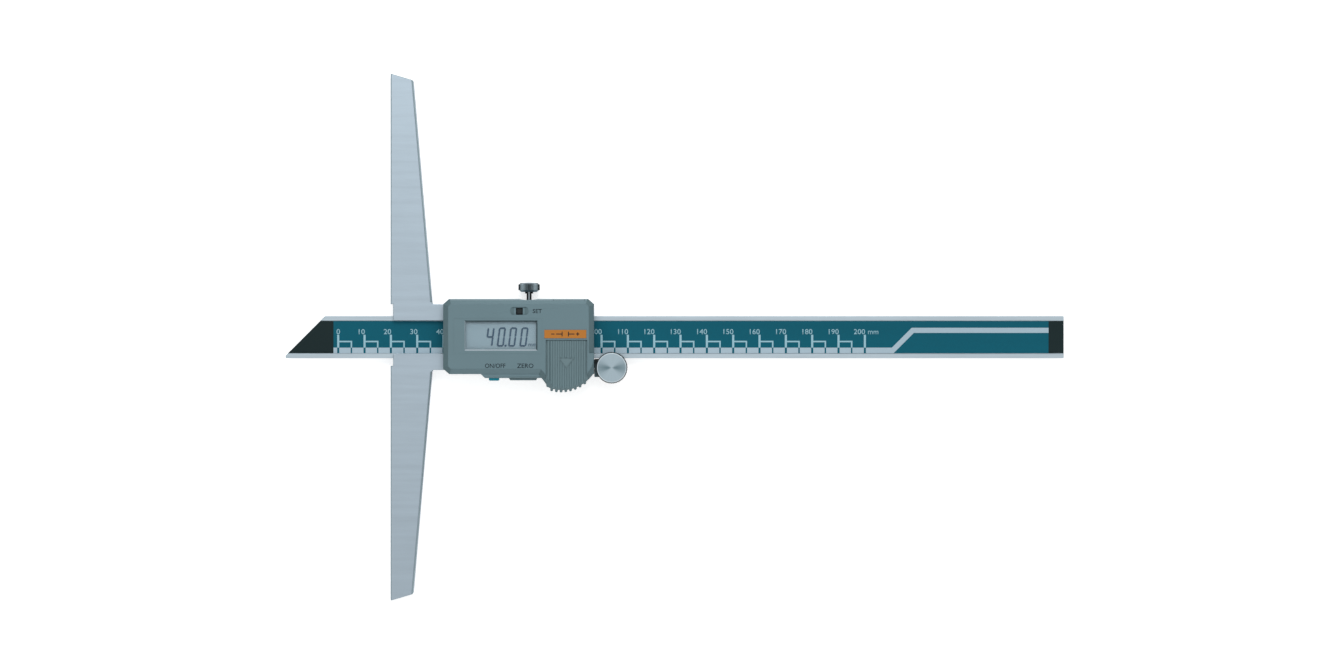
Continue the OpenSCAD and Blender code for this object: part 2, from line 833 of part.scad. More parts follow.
module circuit_board() {
    color(board_green)
    difference() {
        union() {
            block([board_x, -inner_low + 0.3, board_z], [board_end, inner_high - 0.3, board_top]);
            block([board_end - over, 1, board_z], [port_x + port_l + 0.9, inner_high - 0.3, board_top]);
        }
        for (p = screw_places)
            translate([p[0], p[1], board_z - over])
                cylinder(r = boss_r + 0.2, h = board_t + 2 * over);
    }
}

module measuring_chip() {
    chip_w = 8;
    color(black)
        translate([window_x + window_l / 2 - chip_w / 2, -chip_w / 2, board_top])
            cube([chip_w, chip_w, 1]);
}

module sensor_board() {
    color(board_green)
        block([board_x - 2, -sensor_w / 2, sensor_z], [board_end, sensor_w / 2, sensor_z + sensor_t]);
}

module board_link() {
    color(black)
        block([board_x + 2, -2, sensor_z + sensor_t], [board_x + 10, 2, board_z]);
}

module button_switches() {
    mid = button_z + button_h / 2;
    color(black)
    for (x = [power_x + power_l / 2, zero_x + zero_l / 2]) {
        block([x - 2.2, plunger_y + 0.5, board_top], [x + 2.2, plunger_y + 3.2, mid + 0.9]);
        bar_y(x, mid, 0.6, plunger_y, plunger_y + 0.5);
    }
}

module set_switch() {
    top = set_foot() - set_press - seat_gap;
    color(black) {
        block([set_x - 1.6, set_y - 1.6, board_top], [set_x + 1.6, set_y + 1.6, top - 0.5]);
        translate([set_x, set_y, top - 0.5])
            cylinder(r = 0.6, h = 0.5);
    }
}

// Z of the set button's foot
function set_foot() = board_top + 2.4;

module battery() {
    cap_r = battery_r - 1.1;
    color(steel)
    translate([battery_x, battery_y, battery_z])
        rotate_extrude()
            polygon([[0, 0], [cap_r, 0], [cap_r, 0.25], [battery_r - 0.3, 0.25], [battery_r, 0.55],
                [battery_r, battery_t - 0.3], [battery_r - 0.3, battery_t], [0, battery_t]]);
}

module battery_contact_positive() {
    color(gold) {
        block([bay_side - 1.6, leaf_y() + contact_t, board_top],
            [battery_x + leaf_w / 2, leaf_y() + 1.75, board_top + contact_t]);
        block([battery_x - leaf_w / 2, leaf_y(), board_top],
            [battery_x + leaf_w / 2, leaf_y() + contact_t, board_top + leaf_h]);
    }
}

module battery_contact_negative() {
    color(gold) {
        block([bay_side - 1.6, strip_y(), board_top],
            [battery_x, strip_y() + strip_w, board_top + contact_t]);
        translate([battery_x, battery_y, board_top]) {
            cylinder(r = 2.2, h = contact_t);
            translate([0, 0, contact_t])
                cylinder(r1 = 1, r2 = 0.6, h = dimple_h);
        }
    }
}

module data_socket() {
    color(black)
    difference() {
        block([port_mid - plug_w / 2 - 0.4, inner_high - 4, board_top],
            [port_mid + plug_w / 2 + 0.4, inner_high - 0.1, plug_z + port_h + 0.4]);
        block([port_mid - plug_w / 2, inner_high - 3, plug_z],
            [port_mid + plug_w / 2, inner_high, plug_z + port_h]);
    }
}

module label_strip() {
    color(orange)
        block([cover_x - 0.7, -cover_top + 0.8, front_z - 0.1],
            [cover_end - 0.15, -cover_top + 0.7 + label_h, front_z - 0.1 + label_t]);
}

module wheel_bracket() {
    arm_r = roller_r - 0.3;
    low = wheel_y - arm_r - 0.3;
    high = -rod_w / 2 - 0.3;
    front = slider_end + 0.3;
    block_end = wheel_x - roller_r - 0.35;
    color(dark_steel)
    difference() {
        union() {
            block([foot_x, -slider_y + 0.1, foot_z],
                [front, -channel_low - 0.6, foot_z + foot_t]);
            block([front, low, foot_z], [block_end, high, arm_z + arm_t]);
            for (z = [low_arm_z, arm_z]) {
                block([front, wheel_y - arm_r, z], [wheel_x, wheel_y + arm_r, z + arm_t]);
                translate([wheel_x, wheel_y, z])
                    cylinder(r = arm_r, h = arm_t);
            }
        }
        translate([wheel_x, wheel_y, -over])
            cylinder(r = shaft_r + seat_gap, h = front_z);
        for (x = foot_screw_x())
            translate([x, screw_low, foot_z - over]) {
                cylinder(r = screw_r + 0.1, h = foot_t + 2 * over);
                cylinder(r = screw_head_r + 0.1, h = screw_head_t + over);
            }
    }
}

module bracket_screws() {
    color(dark_steel)
    for (x = foot_screw_x())
        translate([x, screw_low, foot_z])
        difference() {
            union() {
                translate([0, 0, seat_gap])
                    cylinder(r = screw_head_r, h = screw_head_t - seat_gap);
                translate([0, 0, seat_gap])
                    cylinder(r = screw_r, h = foot_t + 2.8);
            }
            block([-screw_head_r, -0.2, -over], [screw_head_r, 0.2, 0.4]);
        }
}

// Outline of the rod between two heights across it, with the sloping tip
module rod_outline(low, high, to) {
    function tip(y) = rod_x + max(0, y + rod_w / 2 - tip_flat);
    points = low < tip_flat - rod_w / 2
        ? [[tip(low), low], [to, low], [to, high], [tip(high), high], [rod_x, tip_flat - rod_w / 2]]
        : [[tip(low), low], [to, low], [to, high], [tip(high), high]];
    polygon(points);
}

module rod() {
    far = rod_x + rod_l;
    color(steel)
    difference() {
        translate([0, 0, rod_z])
            linear_extrude(rod_t)
                rod_outline(-rod_w / 2, rod_w / 2, far);
        block([rod_x - over, -recess_w / 2, rod_top - recess_d],
            [far + over, recess_w / 2, rod_top + over]);
        for (y = [-stop_w / 4, stop_w / 4])
            translate([stop_mid(), y, rod_z - over])
                cylinder(r = screw_r + screw_gap, h = over + 2);
    }
}

function stop_mid() = rod_x + rod_l - stop_inset - stop_l / 2;

module scale_strip() {
    side = recess_w / 2 - fit_gap;
    color(black)
        translate([0, 0, rod_top - recess_d])
            linear_extrude(strip_t)
                rod_outline(-side, side, rod_x + rod_l);
}

module scale_film() {
    side = recess_w / 2 - fit_gap;
    z = rod_top - recess_d + strip_t;
    color(teal)
        block([rod_x + film_start, -side, z], [rod_x + rod_l - film_end, side, z + film_t]);
}

// Z of the film's face, which carries the print
function print_z() = rod_top - recess_d + strip_t + film_t;

// X of the mark at a reading
function mark_x(s) = rod_x + scale_zero + s;

band_top = -recess_w / 2 + fit_gap + band_h;

// Numbered marks, and a hook to the half mark between each and the next
module scale_marks() {
    color(light_print)
    translate([0, 0, print_z()])
        linear_extrude(print_t)
            for (s = [0 : mark_step : scale_l]) {
                translate([mark_x(s) - mark_w / 2, band_top])
                    square([mark_w, mark_top - band_top]);
                if (s + mark_step / 2 < scale_l) {
                    translate([mark_x(s), -half_mark_top - half_mark_w])
                        square([mark_step / 2 + half_mark_w / 2, half_mark_w]);
                    translate([mark_x(s + mark_step / 2) - half_mark_w / 2, band_top])
                        square([half_mark_w, -half_mark_top - band_top]);
                }
            }
}

// Light band under the marks, broken at each, that turns up into a stripe
module scale_band() {
    low = -recess_w / 2 + fit_gap;
    start = rod_x + film_start;
    bend = mark_x(bend_x);
    far = rod_x + rod_l - film_end;
    rise = stripe_y - low;
    back = stripe_w * (sqrt(2) - 1);
    color(light_print)
    translate([0, 0, print_z()])
        linear_extrude(print_t)
            difference() {
                polygon([[start, low], [bend, low], [bend + rise, stripe_y], [far, stripe_y],
                    [far, stripe_y + stripe_w], [bend + rise - back, stripe_y + stripe_w],
                    [bend + band_top - low - stripe_w * sqrt(2), band_top], [start, band_top]]);
                for (s = [0 : mark_step : scale_l]) {
                    translate([mark_x(s) - mark_w / 2, low - over])
                        square([mark_w, band_h + 2 * over]);
                    if (s + mark_step / 2 < scale_l)
                        translate([mark_x(s + mark_step / 2) - half_mark_w / 2, low - over])
                            square([half_mark_w, band_h + 2 * over]);
                }
            }
}

module rod_stop() {
    color(dark_steel)
    difference() {
        block([stop_mid() - stop_l / 2, -stop_w / 2, rod_z - stop_t],
            [stop_mid() + stop_l / 2, stop_w / 2, rod_z]);
        for (y = [-stop_w / 4, stop_w / 4])
            translate([stop_mid(), y, rod_z - stop_t - over]) {
                cylinder(r = screw_r + 0.1, h = stop_t + 2 * over);
                cylinder(r = screw_head_r + 0.1, h = screw_head_t + over);
            }
    }
}

module stop_screws() {
    color(steel)
    for (y = [-stop_w / 4, stop_w / 4])
        translate([stop_mid(), y, rod_z - stop_t])
        difference() {
            union() {
                cylinder(r = screw_head_r, h = screw_head_t);
                cylinder(r = screw_r, h = stop_t + 1.8);
            }
            block([-screw_head_r, -0.2, -over], [screw_head_r, 0.2, 0.35]);
        }
}

module thumb_wheel() {
    face_r = wheel_r - wheel_bevel;
    core_r = wheel_r - flute_d - seat_gap;
    color(steel)
    translate([wheel_x, wheel_y, 0]) {
        translate([0, 0, wheel_z + wheel_bevel])
            linear_extrude(wheel_t - 2 * wheel_bevel)
                polygon(knurl(wheel_r, flute_d, wheel_flutes));
        for (z = [wheel_z + wheel_bevel, wheel_z + wheel_t - wheel_bevel])
            translate([0, 0, z])
                rotate([z < wheel_z + wheel_t / 2 ? 180 : 0, 0, 0])
                    cylinder(r1 = core_r, r2 = min(face_r, core_r - seat_gap), h = wheel_bevel);
        // Shaft, with a groove for the clip at its foot
        translate([0, 0, foot_z])
            difference() {
                cylinder(r = shaft_r, h = wheel_z - foot_z + wheel_bevel);
                translate([0, 0, clip_z() - foot_z])
                    difference() {
                        cylinder(r = shaft_r + over, h = clip_t);
                        cylinder(r = shaft_r - 0.35, h = clip_t);
                    }
            }
    }
}

// Z of the clip's underside
function clip_z() = low_arm_z - seat_gap - clip_t;

module drive_roller() {
    color([0.25, 0.25, 0.26])
    translate([wheel_x, wheel_y, low_arm_z + arm_t + 0.1])
        difference() {
            cylinder(r = roller_r, h = arm_z - low_arm_z - arm_t - 0.2);
            translate([0, 0, -over])
                cylinder(r = shaft_r + 0.01, h = front_z);
        }
}

module wheel_clip() {
    color(dark_steel)
    translate([wheel_x, wheel_y, clip_z()])
        linear_extrude(clip_t)
            difference() {
                circle(shaft_r + 1.1);
                circle(shaft_r - 0.33);
                translate([-0.8, 0])
                    square([1.6, shaft_r + 3]);
            }
}

module lock_pad() {
    color(brass)
        bar_y(lock_x, mid_z, lock_r - seat_gap, pad_y, pad_y + lock_pad_l);
}

module lock_screw() {
    collar_r = 1.6;
    neck_r = 3.1;
    band_r = lock_head_r - flute_d - seat_gap;
    band_y = lock_head_y + 0.7;
    band_end = band_y + lock_band;
    color(steel)
    translate([lock_x, 0, mid_z])
        rotate([-90, 0, 0]) {
            rotate_extrude()
                polygon([[0, lock_tip], [lock_r - 0.2, lock_tip], [lock_r, lock_tip + 0.2],
                    [lock_r, lock_head_y - 0.6], [collar_r, lock_head_y - 0.6],
                    [collar_r, lock_head_y], [neck_r, lock_head_y], [band_r, band_y],
                    [band_r, band_end], [neck_r + 0.3, band_end + 0.5], [0, band_end + 0.8]]);
            translate([0, 0, band_y])
                linear_extrude(lock_band)
                    polygon(knurl(lock_head_r, flute_d, lock_flutes));
        }
}

// A side button's flange behind the housing's wall
module button_flange(x, l) {
    block([x - flange_side, flange_y, button_z],
        [x + l + flange_side, flange_y + flange_t, button_z + button_h]);
}

module power_button() {
    r = 0.45;
    color([0.04, 0.5, 0.58]) {
        translate([0, 0, button_z])
            linear_extrude(button_h) {
                round_rect([power_x, button_out_y], [power_x + power_l, button_out_y + 2], r);
                translate([power_x, button_out_y + r])
                    square([power_l, flange_y - button_out_y - r]);
            }
        button_flange(power_x, power_l);
    }
}

module zero_button() {
    slant = 0.55;
    low = button_out_y + 0.15;
    color(case_grey) {
        translate([0, 0, button_z])
            linear_extrude(button_h)
                polygon([[zero_x, flange_y], [zero_x, low + 0.85], [zero_x + slant, low],
                    [zero_x + zero_l - slant, low], [zero_x + zero_l, low + 0.85],
                    [zero_x + zero_l, flange_y]]);
        button_flange(zero_x, zero_l);
    }
}

module set_button() {
    half = set_w / 2;
    flange = half + 0.7;
    top = ceiling_z - 0.1;
    color(black) {
        block([set_x - half, set_y - half, set_foot()],
            [set_x + half, set_y + half, front_z - set_recess - 0.35]);
        block([set_x - flange, set_y - flange + 0.1, top - set_flange_t],
            [set_x + flange, set_y + flange, top]);
    }
}

// Place of a rib along the rod, counted from the cover's front edge
function rib_x(i) = i == 0 ? cover_x + rib_edge : cover_end - rib_edge - (rib_count + 1 - i) * rib_pitch;

// Ribbed plate of the battery cover, before its round end is cut
module cover_plate() {
    low = bay_y - bay_r;
    r = 0.55;
    translate([0, 0, cover_z])
        linear_extrude(cover_t)
            round_rect([cover_x, low], [cover_end, -cover_top], 0.5);
    block([cover_x - tongue_w, low, cover_z], [cover_end + tongue_w, tongue_y, cover_z + tongue_t]);
    intersection() {
        for (i = [0 : rib_count + 1])
            bar_y(rib_x(i), cover_z + cover_t + rib_h - r, r, low, -cover_top - 0.15);
        block([cover_x, low, cover_z], [cover_end, -cover_top, front_z]);
    }
}

// The cover's end wall, round in plan, which closes the battery bay
module cover_end_wall() {
    low = bay_y - 2 * bay_r;
    translate([0, 0, floor_z + fit_gap])
        linear_extrude(cover_z + cover_t - floor_z - fit_gap)
            intersection() {
                translate([bay_x, bay_y])
                    difference() {
                        circle(bay_r);
                        circle(bay_inner_r);
                    }
                translate([cover_x, low])
                    square([cover_w, -housing_low - 0.3 - low]);
            }
}

// One tooth in plan: a finger with a round tip
module tooth(i) {
    r = 0.5;
    x = rib_x(i);
    reach = tooth_h - tooth_fall * i;
    translate([x, bay_edge(x) - reach + r]) {
        circle(r);
        translate([-r, 0])
            square([2 * r, reach + 0.3]);
    }
}

module battery_cover() {
    color(case_grey)
    difference() {
        union() {
            intersection() {
                cover_plate();
                translate([bay_x, bay_y, 0])
                    cylinder(r = bay_r, h = front_z);
            }
            cover_end_wall();
            for (i = [1 : rib_count + 1])
                translate([0, 0, floor_z + fit_gap])
                    linear_extrude(cover_z + cover_t + rib_h - floor_z - fit_gap)
                        tooth(i);
        }
        bay_bevels(bay_r + tooth_h - 0.2);
        // Smooth place for the arrow
        translate([0, 0, cover_z + cover_t])
            linear_extrude(front_z)
                arrow(0.35);
    }
    color(case_grey)
        translate([0, 0, cover_z + cover_t - 0.1])
            linear_extrude(rib_h)
                arrow(0);
}

// Arrow that points to where the cover slides, in plan
module arrow(grow) {
    x = cover_mid;
    y = -cover_top - 6.9;
    half = arrow_w / 2;
    polygon([[x - half - 2 * grow, y + grow], [x, y - arrow_l - 2 * grow],
        [x + half + 2 * grow, y + grow]]);
}

module port_cover() {
    color(case_grey) {
        intersection() {
            housing_shape();
            port_seat(0);
        }
        block([port_mid - plug_w / 2 + fit_gap, inner_high + seat_gap, plug_z + fit_gap],
            [port_mid + plug_w / 2 - fit_gap, housing_high - port_t + seat_gap,
                plug_z + port_h - fit_gap]);
    }
}

base_frame();
gib_strip();
gib_screws();
housing();
housing_screws();
display_bezel();
display_window();
lcd_module();
lcd_connectors();
circuit_board();
measuring_chip();
sensor_board();
board_link();
button_switches();
set_switch();
battery();
battery_contact_positive();
battery_contact_negative();
data_socket();
label_strip();
wheel_bracket();
bracket_screws();
rod();
scale_strip();
scale_film();
scale_marks();
scale_band();
rod_stop();
stop_screws();
thumb_wheel();
drive_roller();
wheel_clip();
lock_pad();
lock_screw();
power_button();
zero_button();
set_button();
battery_cover();
port_cover();
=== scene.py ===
"""Looks of a digital depth gauge: finishes, lettering, display figures, softened edges, lights and camera."""

import json
import logging
import math
from dataclasses import dataclass, replace
from enum import Enum
from typing import Callable, NamedTuple, Optional, Sequence, Tuple, Union

import bmesh
import bpy
from mathutils import Matrix, Vector


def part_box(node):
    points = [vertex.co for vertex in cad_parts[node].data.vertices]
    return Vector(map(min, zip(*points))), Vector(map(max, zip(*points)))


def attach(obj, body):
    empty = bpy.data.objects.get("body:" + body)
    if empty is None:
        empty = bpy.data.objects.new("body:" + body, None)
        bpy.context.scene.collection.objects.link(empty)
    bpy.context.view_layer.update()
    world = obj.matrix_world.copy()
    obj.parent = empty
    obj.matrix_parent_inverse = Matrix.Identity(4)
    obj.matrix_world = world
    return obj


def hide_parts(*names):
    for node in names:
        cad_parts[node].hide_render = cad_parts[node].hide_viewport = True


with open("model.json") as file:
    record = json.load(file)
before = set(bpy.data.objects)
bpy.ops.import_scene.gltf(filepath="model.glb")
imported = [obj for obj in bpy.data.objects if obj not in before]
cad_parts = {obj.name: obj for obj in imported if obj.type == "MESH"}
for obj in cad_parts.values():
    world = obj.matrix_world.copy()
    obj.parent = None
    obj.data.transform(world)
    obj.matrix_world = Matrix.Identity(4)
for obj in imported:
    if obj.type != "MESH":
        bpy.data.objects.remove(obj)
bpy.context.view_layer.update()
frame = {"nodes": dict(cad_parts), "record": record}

Colour = Tuple[float, float, float]
Point = Tuple[float, float, float]
Box = Tuple[Point, Point]
Socket = bpy.types.NodeSocket
Choice = Callable[[Vector, Vector], bool]
Stops = Sequence[Tuple[float, float]]

LOG = logging.getLogger("depth_gauge")
SLOT_OF = {row["node"]: row["material_slot"] for row in frame["record"]["subparts"]}
MM = 0.001
WELD = 0.0000005


class Axis(Enum):
    """Direction that a grain runs in, as the stretch of its pattern."""

    X = (0.04, 1.0, 1.0)
    NONE = (1.0, 1.0, 1.0)


class Noise(NamedTuple):
    """A noise pattern: cells to a metre, octaves and the strength of the finer ones."""

    cells: float
    octaves: float = 3.0
    rough: float = 0.5


class Align(Enum):
    """Which edge of a line of lettering stands at its place."""

    LEFT = 0.0
    CENTRE = 0.5
    RIGHT = 1.0


def linear(colour: Colour, gain: float = 1.0) -> Tuple[float, float, float, float]:
    """Turns a screen colour into the linear one that a shader takes.

    Args:
        colour: Red, green and blue from 0 to 255.
        gain: Factor on the linear values.

    Returns:
        Linear red, green and blue, with an alpha of 1.
    """
    parts = []
    for value in colour:
        c = value / 255.0
        c = c / 12.92 if c <= 0.04045 else ((c + 0.055) / 1.055) ** 2.4
        parts.append(min(max(c * gain, 0.0), 1.0))
    return (parts[0], parts[1], parts[2], 1.0)


def middle_of(node: str) -> Point:
    """Gives the middle of a CAD node's box, in metres."""
    return tuple((low + high) / 2 for low, high in zip(*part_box(node)))


def set_stops(ramp: bpy.types.Node, stops: Sequence[Tuple[float, Tuple[float, ...]]]) -> None:
    """Gives a colour ramp its stops.

    Args:
        ramp: The ramp's node.
        stops: Places from 0 to 1, each with its linear colour.
    """
    elements = ramp.color_ramp.elements
    while len(elements) < len(stops):
        elements.new(0.5)
    for element, (place, colour) in zip(elements, stops):
        element.position = place
        element.color = colour


class Tree:
    """A node tree, with short calls to add and join nodes."""

    noise_range = (0.3, 0.7)
    mix_sockets = (6, 7)

    def __init__(self, owner: Union[bpy.types.Material, bpy.types.World]) -> None:
        """Empties the tree.

        Args:
            owner: Material or world that the tree belongs to.
        """
        owner.use_nodes = True
        self.tree = owner.node_tree
        self.tree.nodes.clear()

    def add(self, kind: str, **values: object) -> bpy.types.Node:
        """Adds a node.

        Args:
            kind: Blender's name of the node's type.
            values: Properties of the node, or values of its sockets.

        Returns:
            The new node.
        """
        node = self.tree.nodes.new(kind)
        for key, value in values.items():
            if hasattr(node, key):
                setattr(node, key, value)
            else:
                node.inputs[key.replace("_", " ")].default_value = value
        return node

    def join(self, source: Socket, target: Socket) -> None:
        """Links one socket to another."""
        self.tree.links.new(source, target)

    def place(self, stretch: Sequence[float] = (1.0, 1.0, 1.0), centre: Point = (0.0, 0.0, 0.0)) -> Socket:
        """Gives the place on the piece, from its Object coordinates.

        Args:
            stretch: Factor on each direction.
            centre: Point in metres that becomes zero.

        Returns:
            The vector socket.
        """
        where = self.add("ShaderNodeTexCoord")
        moved = self.add("ShaderNodeMapping", vector_type="POINT")
        moved.inputs["Location"].default_value = [-c * s for c, s in zip(centre, stretch)]
        moved.inputs["Scale"].default_value = tuple(stretch)
        self.join(where.outputs["Object"], moved.inputs["Vector"])
        return moved.outputs["Vector"]

    def noise(self, vector: Socket, kind: Noise) -> Socket:
        """Adds a noise pattern.

        Args:
            vector: Place that it is read at.
            kind: The pattern.

        Returns:
            Its value, from 0 to 1.
        """
        node = self.add("ShaderNodeTexNoise", Scale=kind.cells, Detail=kind.octaves, Roughness=kind.rough)
        self.join(vector, node.inputs["Vector"])
        return node.outputs["Fac"]

    def maths(self, operation: str, *terms: Union[float, Socket]) -> Socket:
        """Adds a maths node.

        Args:
            operation: Blender's name of the operation.
            terms: Numbers or sockets that it takes.

        Returns:
            The result.
        """
        node = self.add("ShaderNodeMath", operation=operation)
        for slot, term in zip(node.inputs, terms):
            if isinstance(term, (int, float)):
                slot.default_value = term
            else:
                self.join(term, slot)
        return node.outputs[0]

    def spread(self, value: Socket, low: float, high: float, to_low: float = 0.0,
               to_high: float = 1.0) -> Socket:
        """Maps a range of a value to another, with its ends held.

        Args:
            value: Socket to map.
            low: Start of its range.
            high: End of its range.
            to_low: Result at the start.
            to_high: Result at the end.

        Returns:
            The mapped value.
        """
        node = self.add("ShaderNodeMapRange")
        for key, number in zip(("From Min", "From Max", "To Min", "To Max"), (low, high, to_low, to_high)):
            node.inputs[key].default_value = number
        self.join(value, node.inputs["Value"])
        return node.outputs["Result"]

    def vary(self, noise: Socket, to_low: float, to_high: float) -> Socket:
        """Maps the values that a noise mostly has to a range."""
        return self.spread(noise, *self.noise_range, to_low, to_high)

    def blend(self, amount: Socket, first: Union[tuple, Socket], second: Union[tuple, Socket]) -> Socket:
        """Mixes two colours.

        Args:
            amount: Share of the second.
            first: Colour or socket.
            second: Colour or socket.

        Returns:
            The mixed colour.
        """
        node = self.add("ShaderNodeMix", data_type="RGBA")
        for index, colour in zip(self.mix_sockets, (first, second)):
            if isinstance(colour, tuple):
                node.inputs[index].default_value = colour
            else:
                self.join(colour, node.inputs[index])
        self.join(amount, node.inputs[0])
        return node.outputs[2]

    def split(self, vector: Socket) -> bpy.types.NodeOutputs:
        """Takes a vector apart.

        Args:
            vector: The vector.

        Returns:
            The sockets of its three parts.
        """
        node = self.add("ShaderNodeSeparateXYZ")
        self.join(vector, node.inputs[0])
        return node.outputs

    def mean(self, *parts: Tuple[Socket, float]) -> Socket:
        """Adds values up, each with its weight.

        Args:
            parts: Values and their weights.

        Returns:
            The sum.
        """
        total = None
        for value, weight in parts:
            share = self.maths("MULTIPLY", value, weight)
            total = share if total is None else self.maths("ADD", total, share)
        return total

    def mottled(self, tone: Socket, colour: Colour, contrast: float, low: float = 0.35) -> Socket:
        """Lets a colour go down and up by a contrast with a tone, which runs from low to 1 - low."""
        share = self.spread(tone, low, 1.0 - low)
        return self.blend(share, linear(colour, 1.0 - contrast), linear(colour, 1.0 + contrast))

    def bump(self, height: Socket, depth: float, strength: float) -> Socket:
        """Adds relief to the surface.

        Args:
            height: Value that sets the relief.
            depth: Its depth in metres.
            strength: How much of it shows.

        Returns:
            The new normal.
        """
        node = self.add("ShaderNodeBump", Strength=strength, Distance=depth)
        self.join(height, node.inputs["Height"])
        return node.outputs["Normal"]


class Graph(Tree):
    """The node tree of one material, round its main shader."""

    def __init__(self, name: str) -> None:
        """Starts an empty material.

        Args:
            name: Name of the material.
        """
        self.material = bpy.data.materials.new(name)
        super().__init__(self.material)
        self.out = self.add("ShaderNodeOutputMaterial")
        self.shader = self.add("ShaderNodeBsdfPrincipled")
        self.join(self.shader.outputs[0], self.out.inputs["Surface"])

    def set(self, **values: object) -> None:
        """Sets or links the shader's own sockets.

        Args:
            values: Numbers, colours or sockets, by the shader's names with underscores for spaces.
        """
        for key, value in values.items():
            socket = self.shader.inputs[key.replace("_", " ")]
            if isinstance(value, bpy.types.NodeSocket):
                self.join(value, socket)
            else:
                socket.default_value = value


@dataclass(frozen=True)
class Finish:
    """A finish: its colour, roughness and relief, with the patterns that a subclass adds."""

    name: str
    colour: Colour
    roughness: float
    roughness_range: Tuple[float, float] = (-0.05, 0.05)
    depth: float = 0.000005
    relief: float = 0.3

    def build(self) -> bpy.types.Material:
        """Makes the material, once for each name.

        Returns:
            The material.
        """
        known = bpy.data.materials.get(self.name)
        if known is not None:
            return known
        graph = Graph(self.name)
        self.fill(graph)
        return graph.material

    def fill(self, graph: Graph) -> None:
        """Fills the material's tree, which each subclass does in its own way."""
        raise NotImplementedError

    def uneven(self, graph: Graph, noise: Socket) -> Socket:
        """Lets the roughness vary with a noise."""
        return graph.vary(noise, *(self.roughness + step for step in self.roughness_range))

    def raised(self, graph: Graph, height: Socket) -> Socket:
        """Gives the normal of the finish's relief."""
        return graph.bump(height, self.depth, self.relief)


@dataclass(frozen=True)
class GroundSteel(Finish):
    """Satin steel with grinding lines, soft clouds and fine scratches."""

    roughness_range: Tuple[float, float] = (-0.04, 0.05)
    depth: float = 0.000006
    relief: float = 0.35
    grain: Axis = Axis.NONE
    contrast: float = 0.07
    metallic: float = 1.0
    scratches: Noise = Noise(5200.0, rough=0.6)
    streaks: Noise = Noise(520.0, rough=0.55)
    clouds: Noise = Noise(60.0)
    shares: Tuple[float, float, float] = (0.4, 0.4, 0.2)
    darkest: float = 0.32

    def fill(self, graph: Graph) -> None:
        """Fills the material's tree.

        Args:
            graph: The tree.
        """
        lines = graph.noise(graph.place(self.grain.value), self.scratches)
        bands = graph.noise(graph.place(self.grain.value), self.streaks)
        clouds = graph.noise(graph.place(), self.clouds)
        tone = graph.mean(*zip((lines, bands, clouds), self.shares))
        colour = graph.mottled(tone, self.colour, self.contrast, self.darkest)
        graph.set(Base_Color=colour, Metallic=self.metallic, Roughness=self.uneven(graph, bands),
                  Normal=self.raised(graph, lines))


@dataclass(frozen=True)
class TurnedSteel(Finish):
    """Lathe-turned steel face: fine rings, with painted reflections on them: light and dark fans by angle, a
    painted highlight at the hub and a painted highlight ring near the rim.
    """

    depth: float = 0.000008
    centre: Point = (0.0, 0.0, 0.0)
    # dark is the colour of the painted shade in the fans; the hub, fade and rim values shape the painted
    # highlights.
    dark: Colour = (112, 134, 142)
    fan_power: float = 7.0
    rays: Noise = Noise(6.0, 2.0)
    ray_range: Tuple[float, float] = (-0.06, 0.1)
    grooves: Noise = Noise(6500.0, 2.0)
    groove_range: Tuple[float, float] = (-0.06, 0.06)
    hub_radius: float = 0.0011
    hub_share: float = 0.25
    fade_from: float = 0.002
    fade_to: float = 0.0055
    fade_share: float = 0.55
    rim: Colour = (214, 226, 232)
    rim_radius: float = 0.0056
    rim_from: float = 0.0004
    rim_to: float = 0.0002
    rim_share: float = 0.8

    def fill(self, graph: Graph) -> None:
        """Fills the material's tree.

        Args:
            graph: The tree.
        """
        x, y, _ = graph.split(graph.place((1.0, 1.0, 0.0), self.centre))
        radius = graph.maths("SQRT", graph.maths("ADD", graph.maths("MULTIPLY", x, x),
                                                 graph.maths("MULTIPLY", y, y)))
        angle = graph.maths("ARCTAN2", y, x)
        # Painted reflection fans: darkest to the left and right of the centre, lightest above and below it.
        fan = graph.maths("POWER", graph.maths("ABSOLUTE", graph.maths("COSINE", angle)), self.fan_power)
        patterns = []
        for value, kind in ((angle, self.rays), (radius, self.grooves)):
            along = graph.add("ShaderNodeCombineXYZ")
            graph.join(value, along.inputs[0])
            patterns.append(graph.noise(along.outputs[0], kind))
        rays, grooves = patterns
        tone = graph.maths("ADD", fan, graph.vary(rays, *self.ray_range))
        tone = graph.maths("ADD", tone, graph.vary(grooves, *self.groove_range))
        # Painted highlight at the hub, and the fans fading out towards the rim.
        inner = graph.spread(radius, 0.0, self.hub_radius, self.hub_share, 1.0)
        outer = graph.spread(radius, self.fade_from, self.fade_to, 1.0, self.fade_share)
        tone = graph.maths("MULTIPLY", graph.maths("MULTIPLY", tone, inner), outer)
        face = graph.blend(graph.spread(tone, 0.0, 1.0), linear(self.colour), linear(self.dark))
        # Painted highlight ring near the rim.
        ring = graph.spread(radius, self.rim_radius - self.rim_from, self.rim_radius - self.rim_to,
                            0.0, self.rim_share)
        graph.set(Base_Color=graph.blend(ring, face, linear(self.rim)), Metallic=1.0,
                  Roughness=self.roughness, Normal=self.raised(graph, grooves))


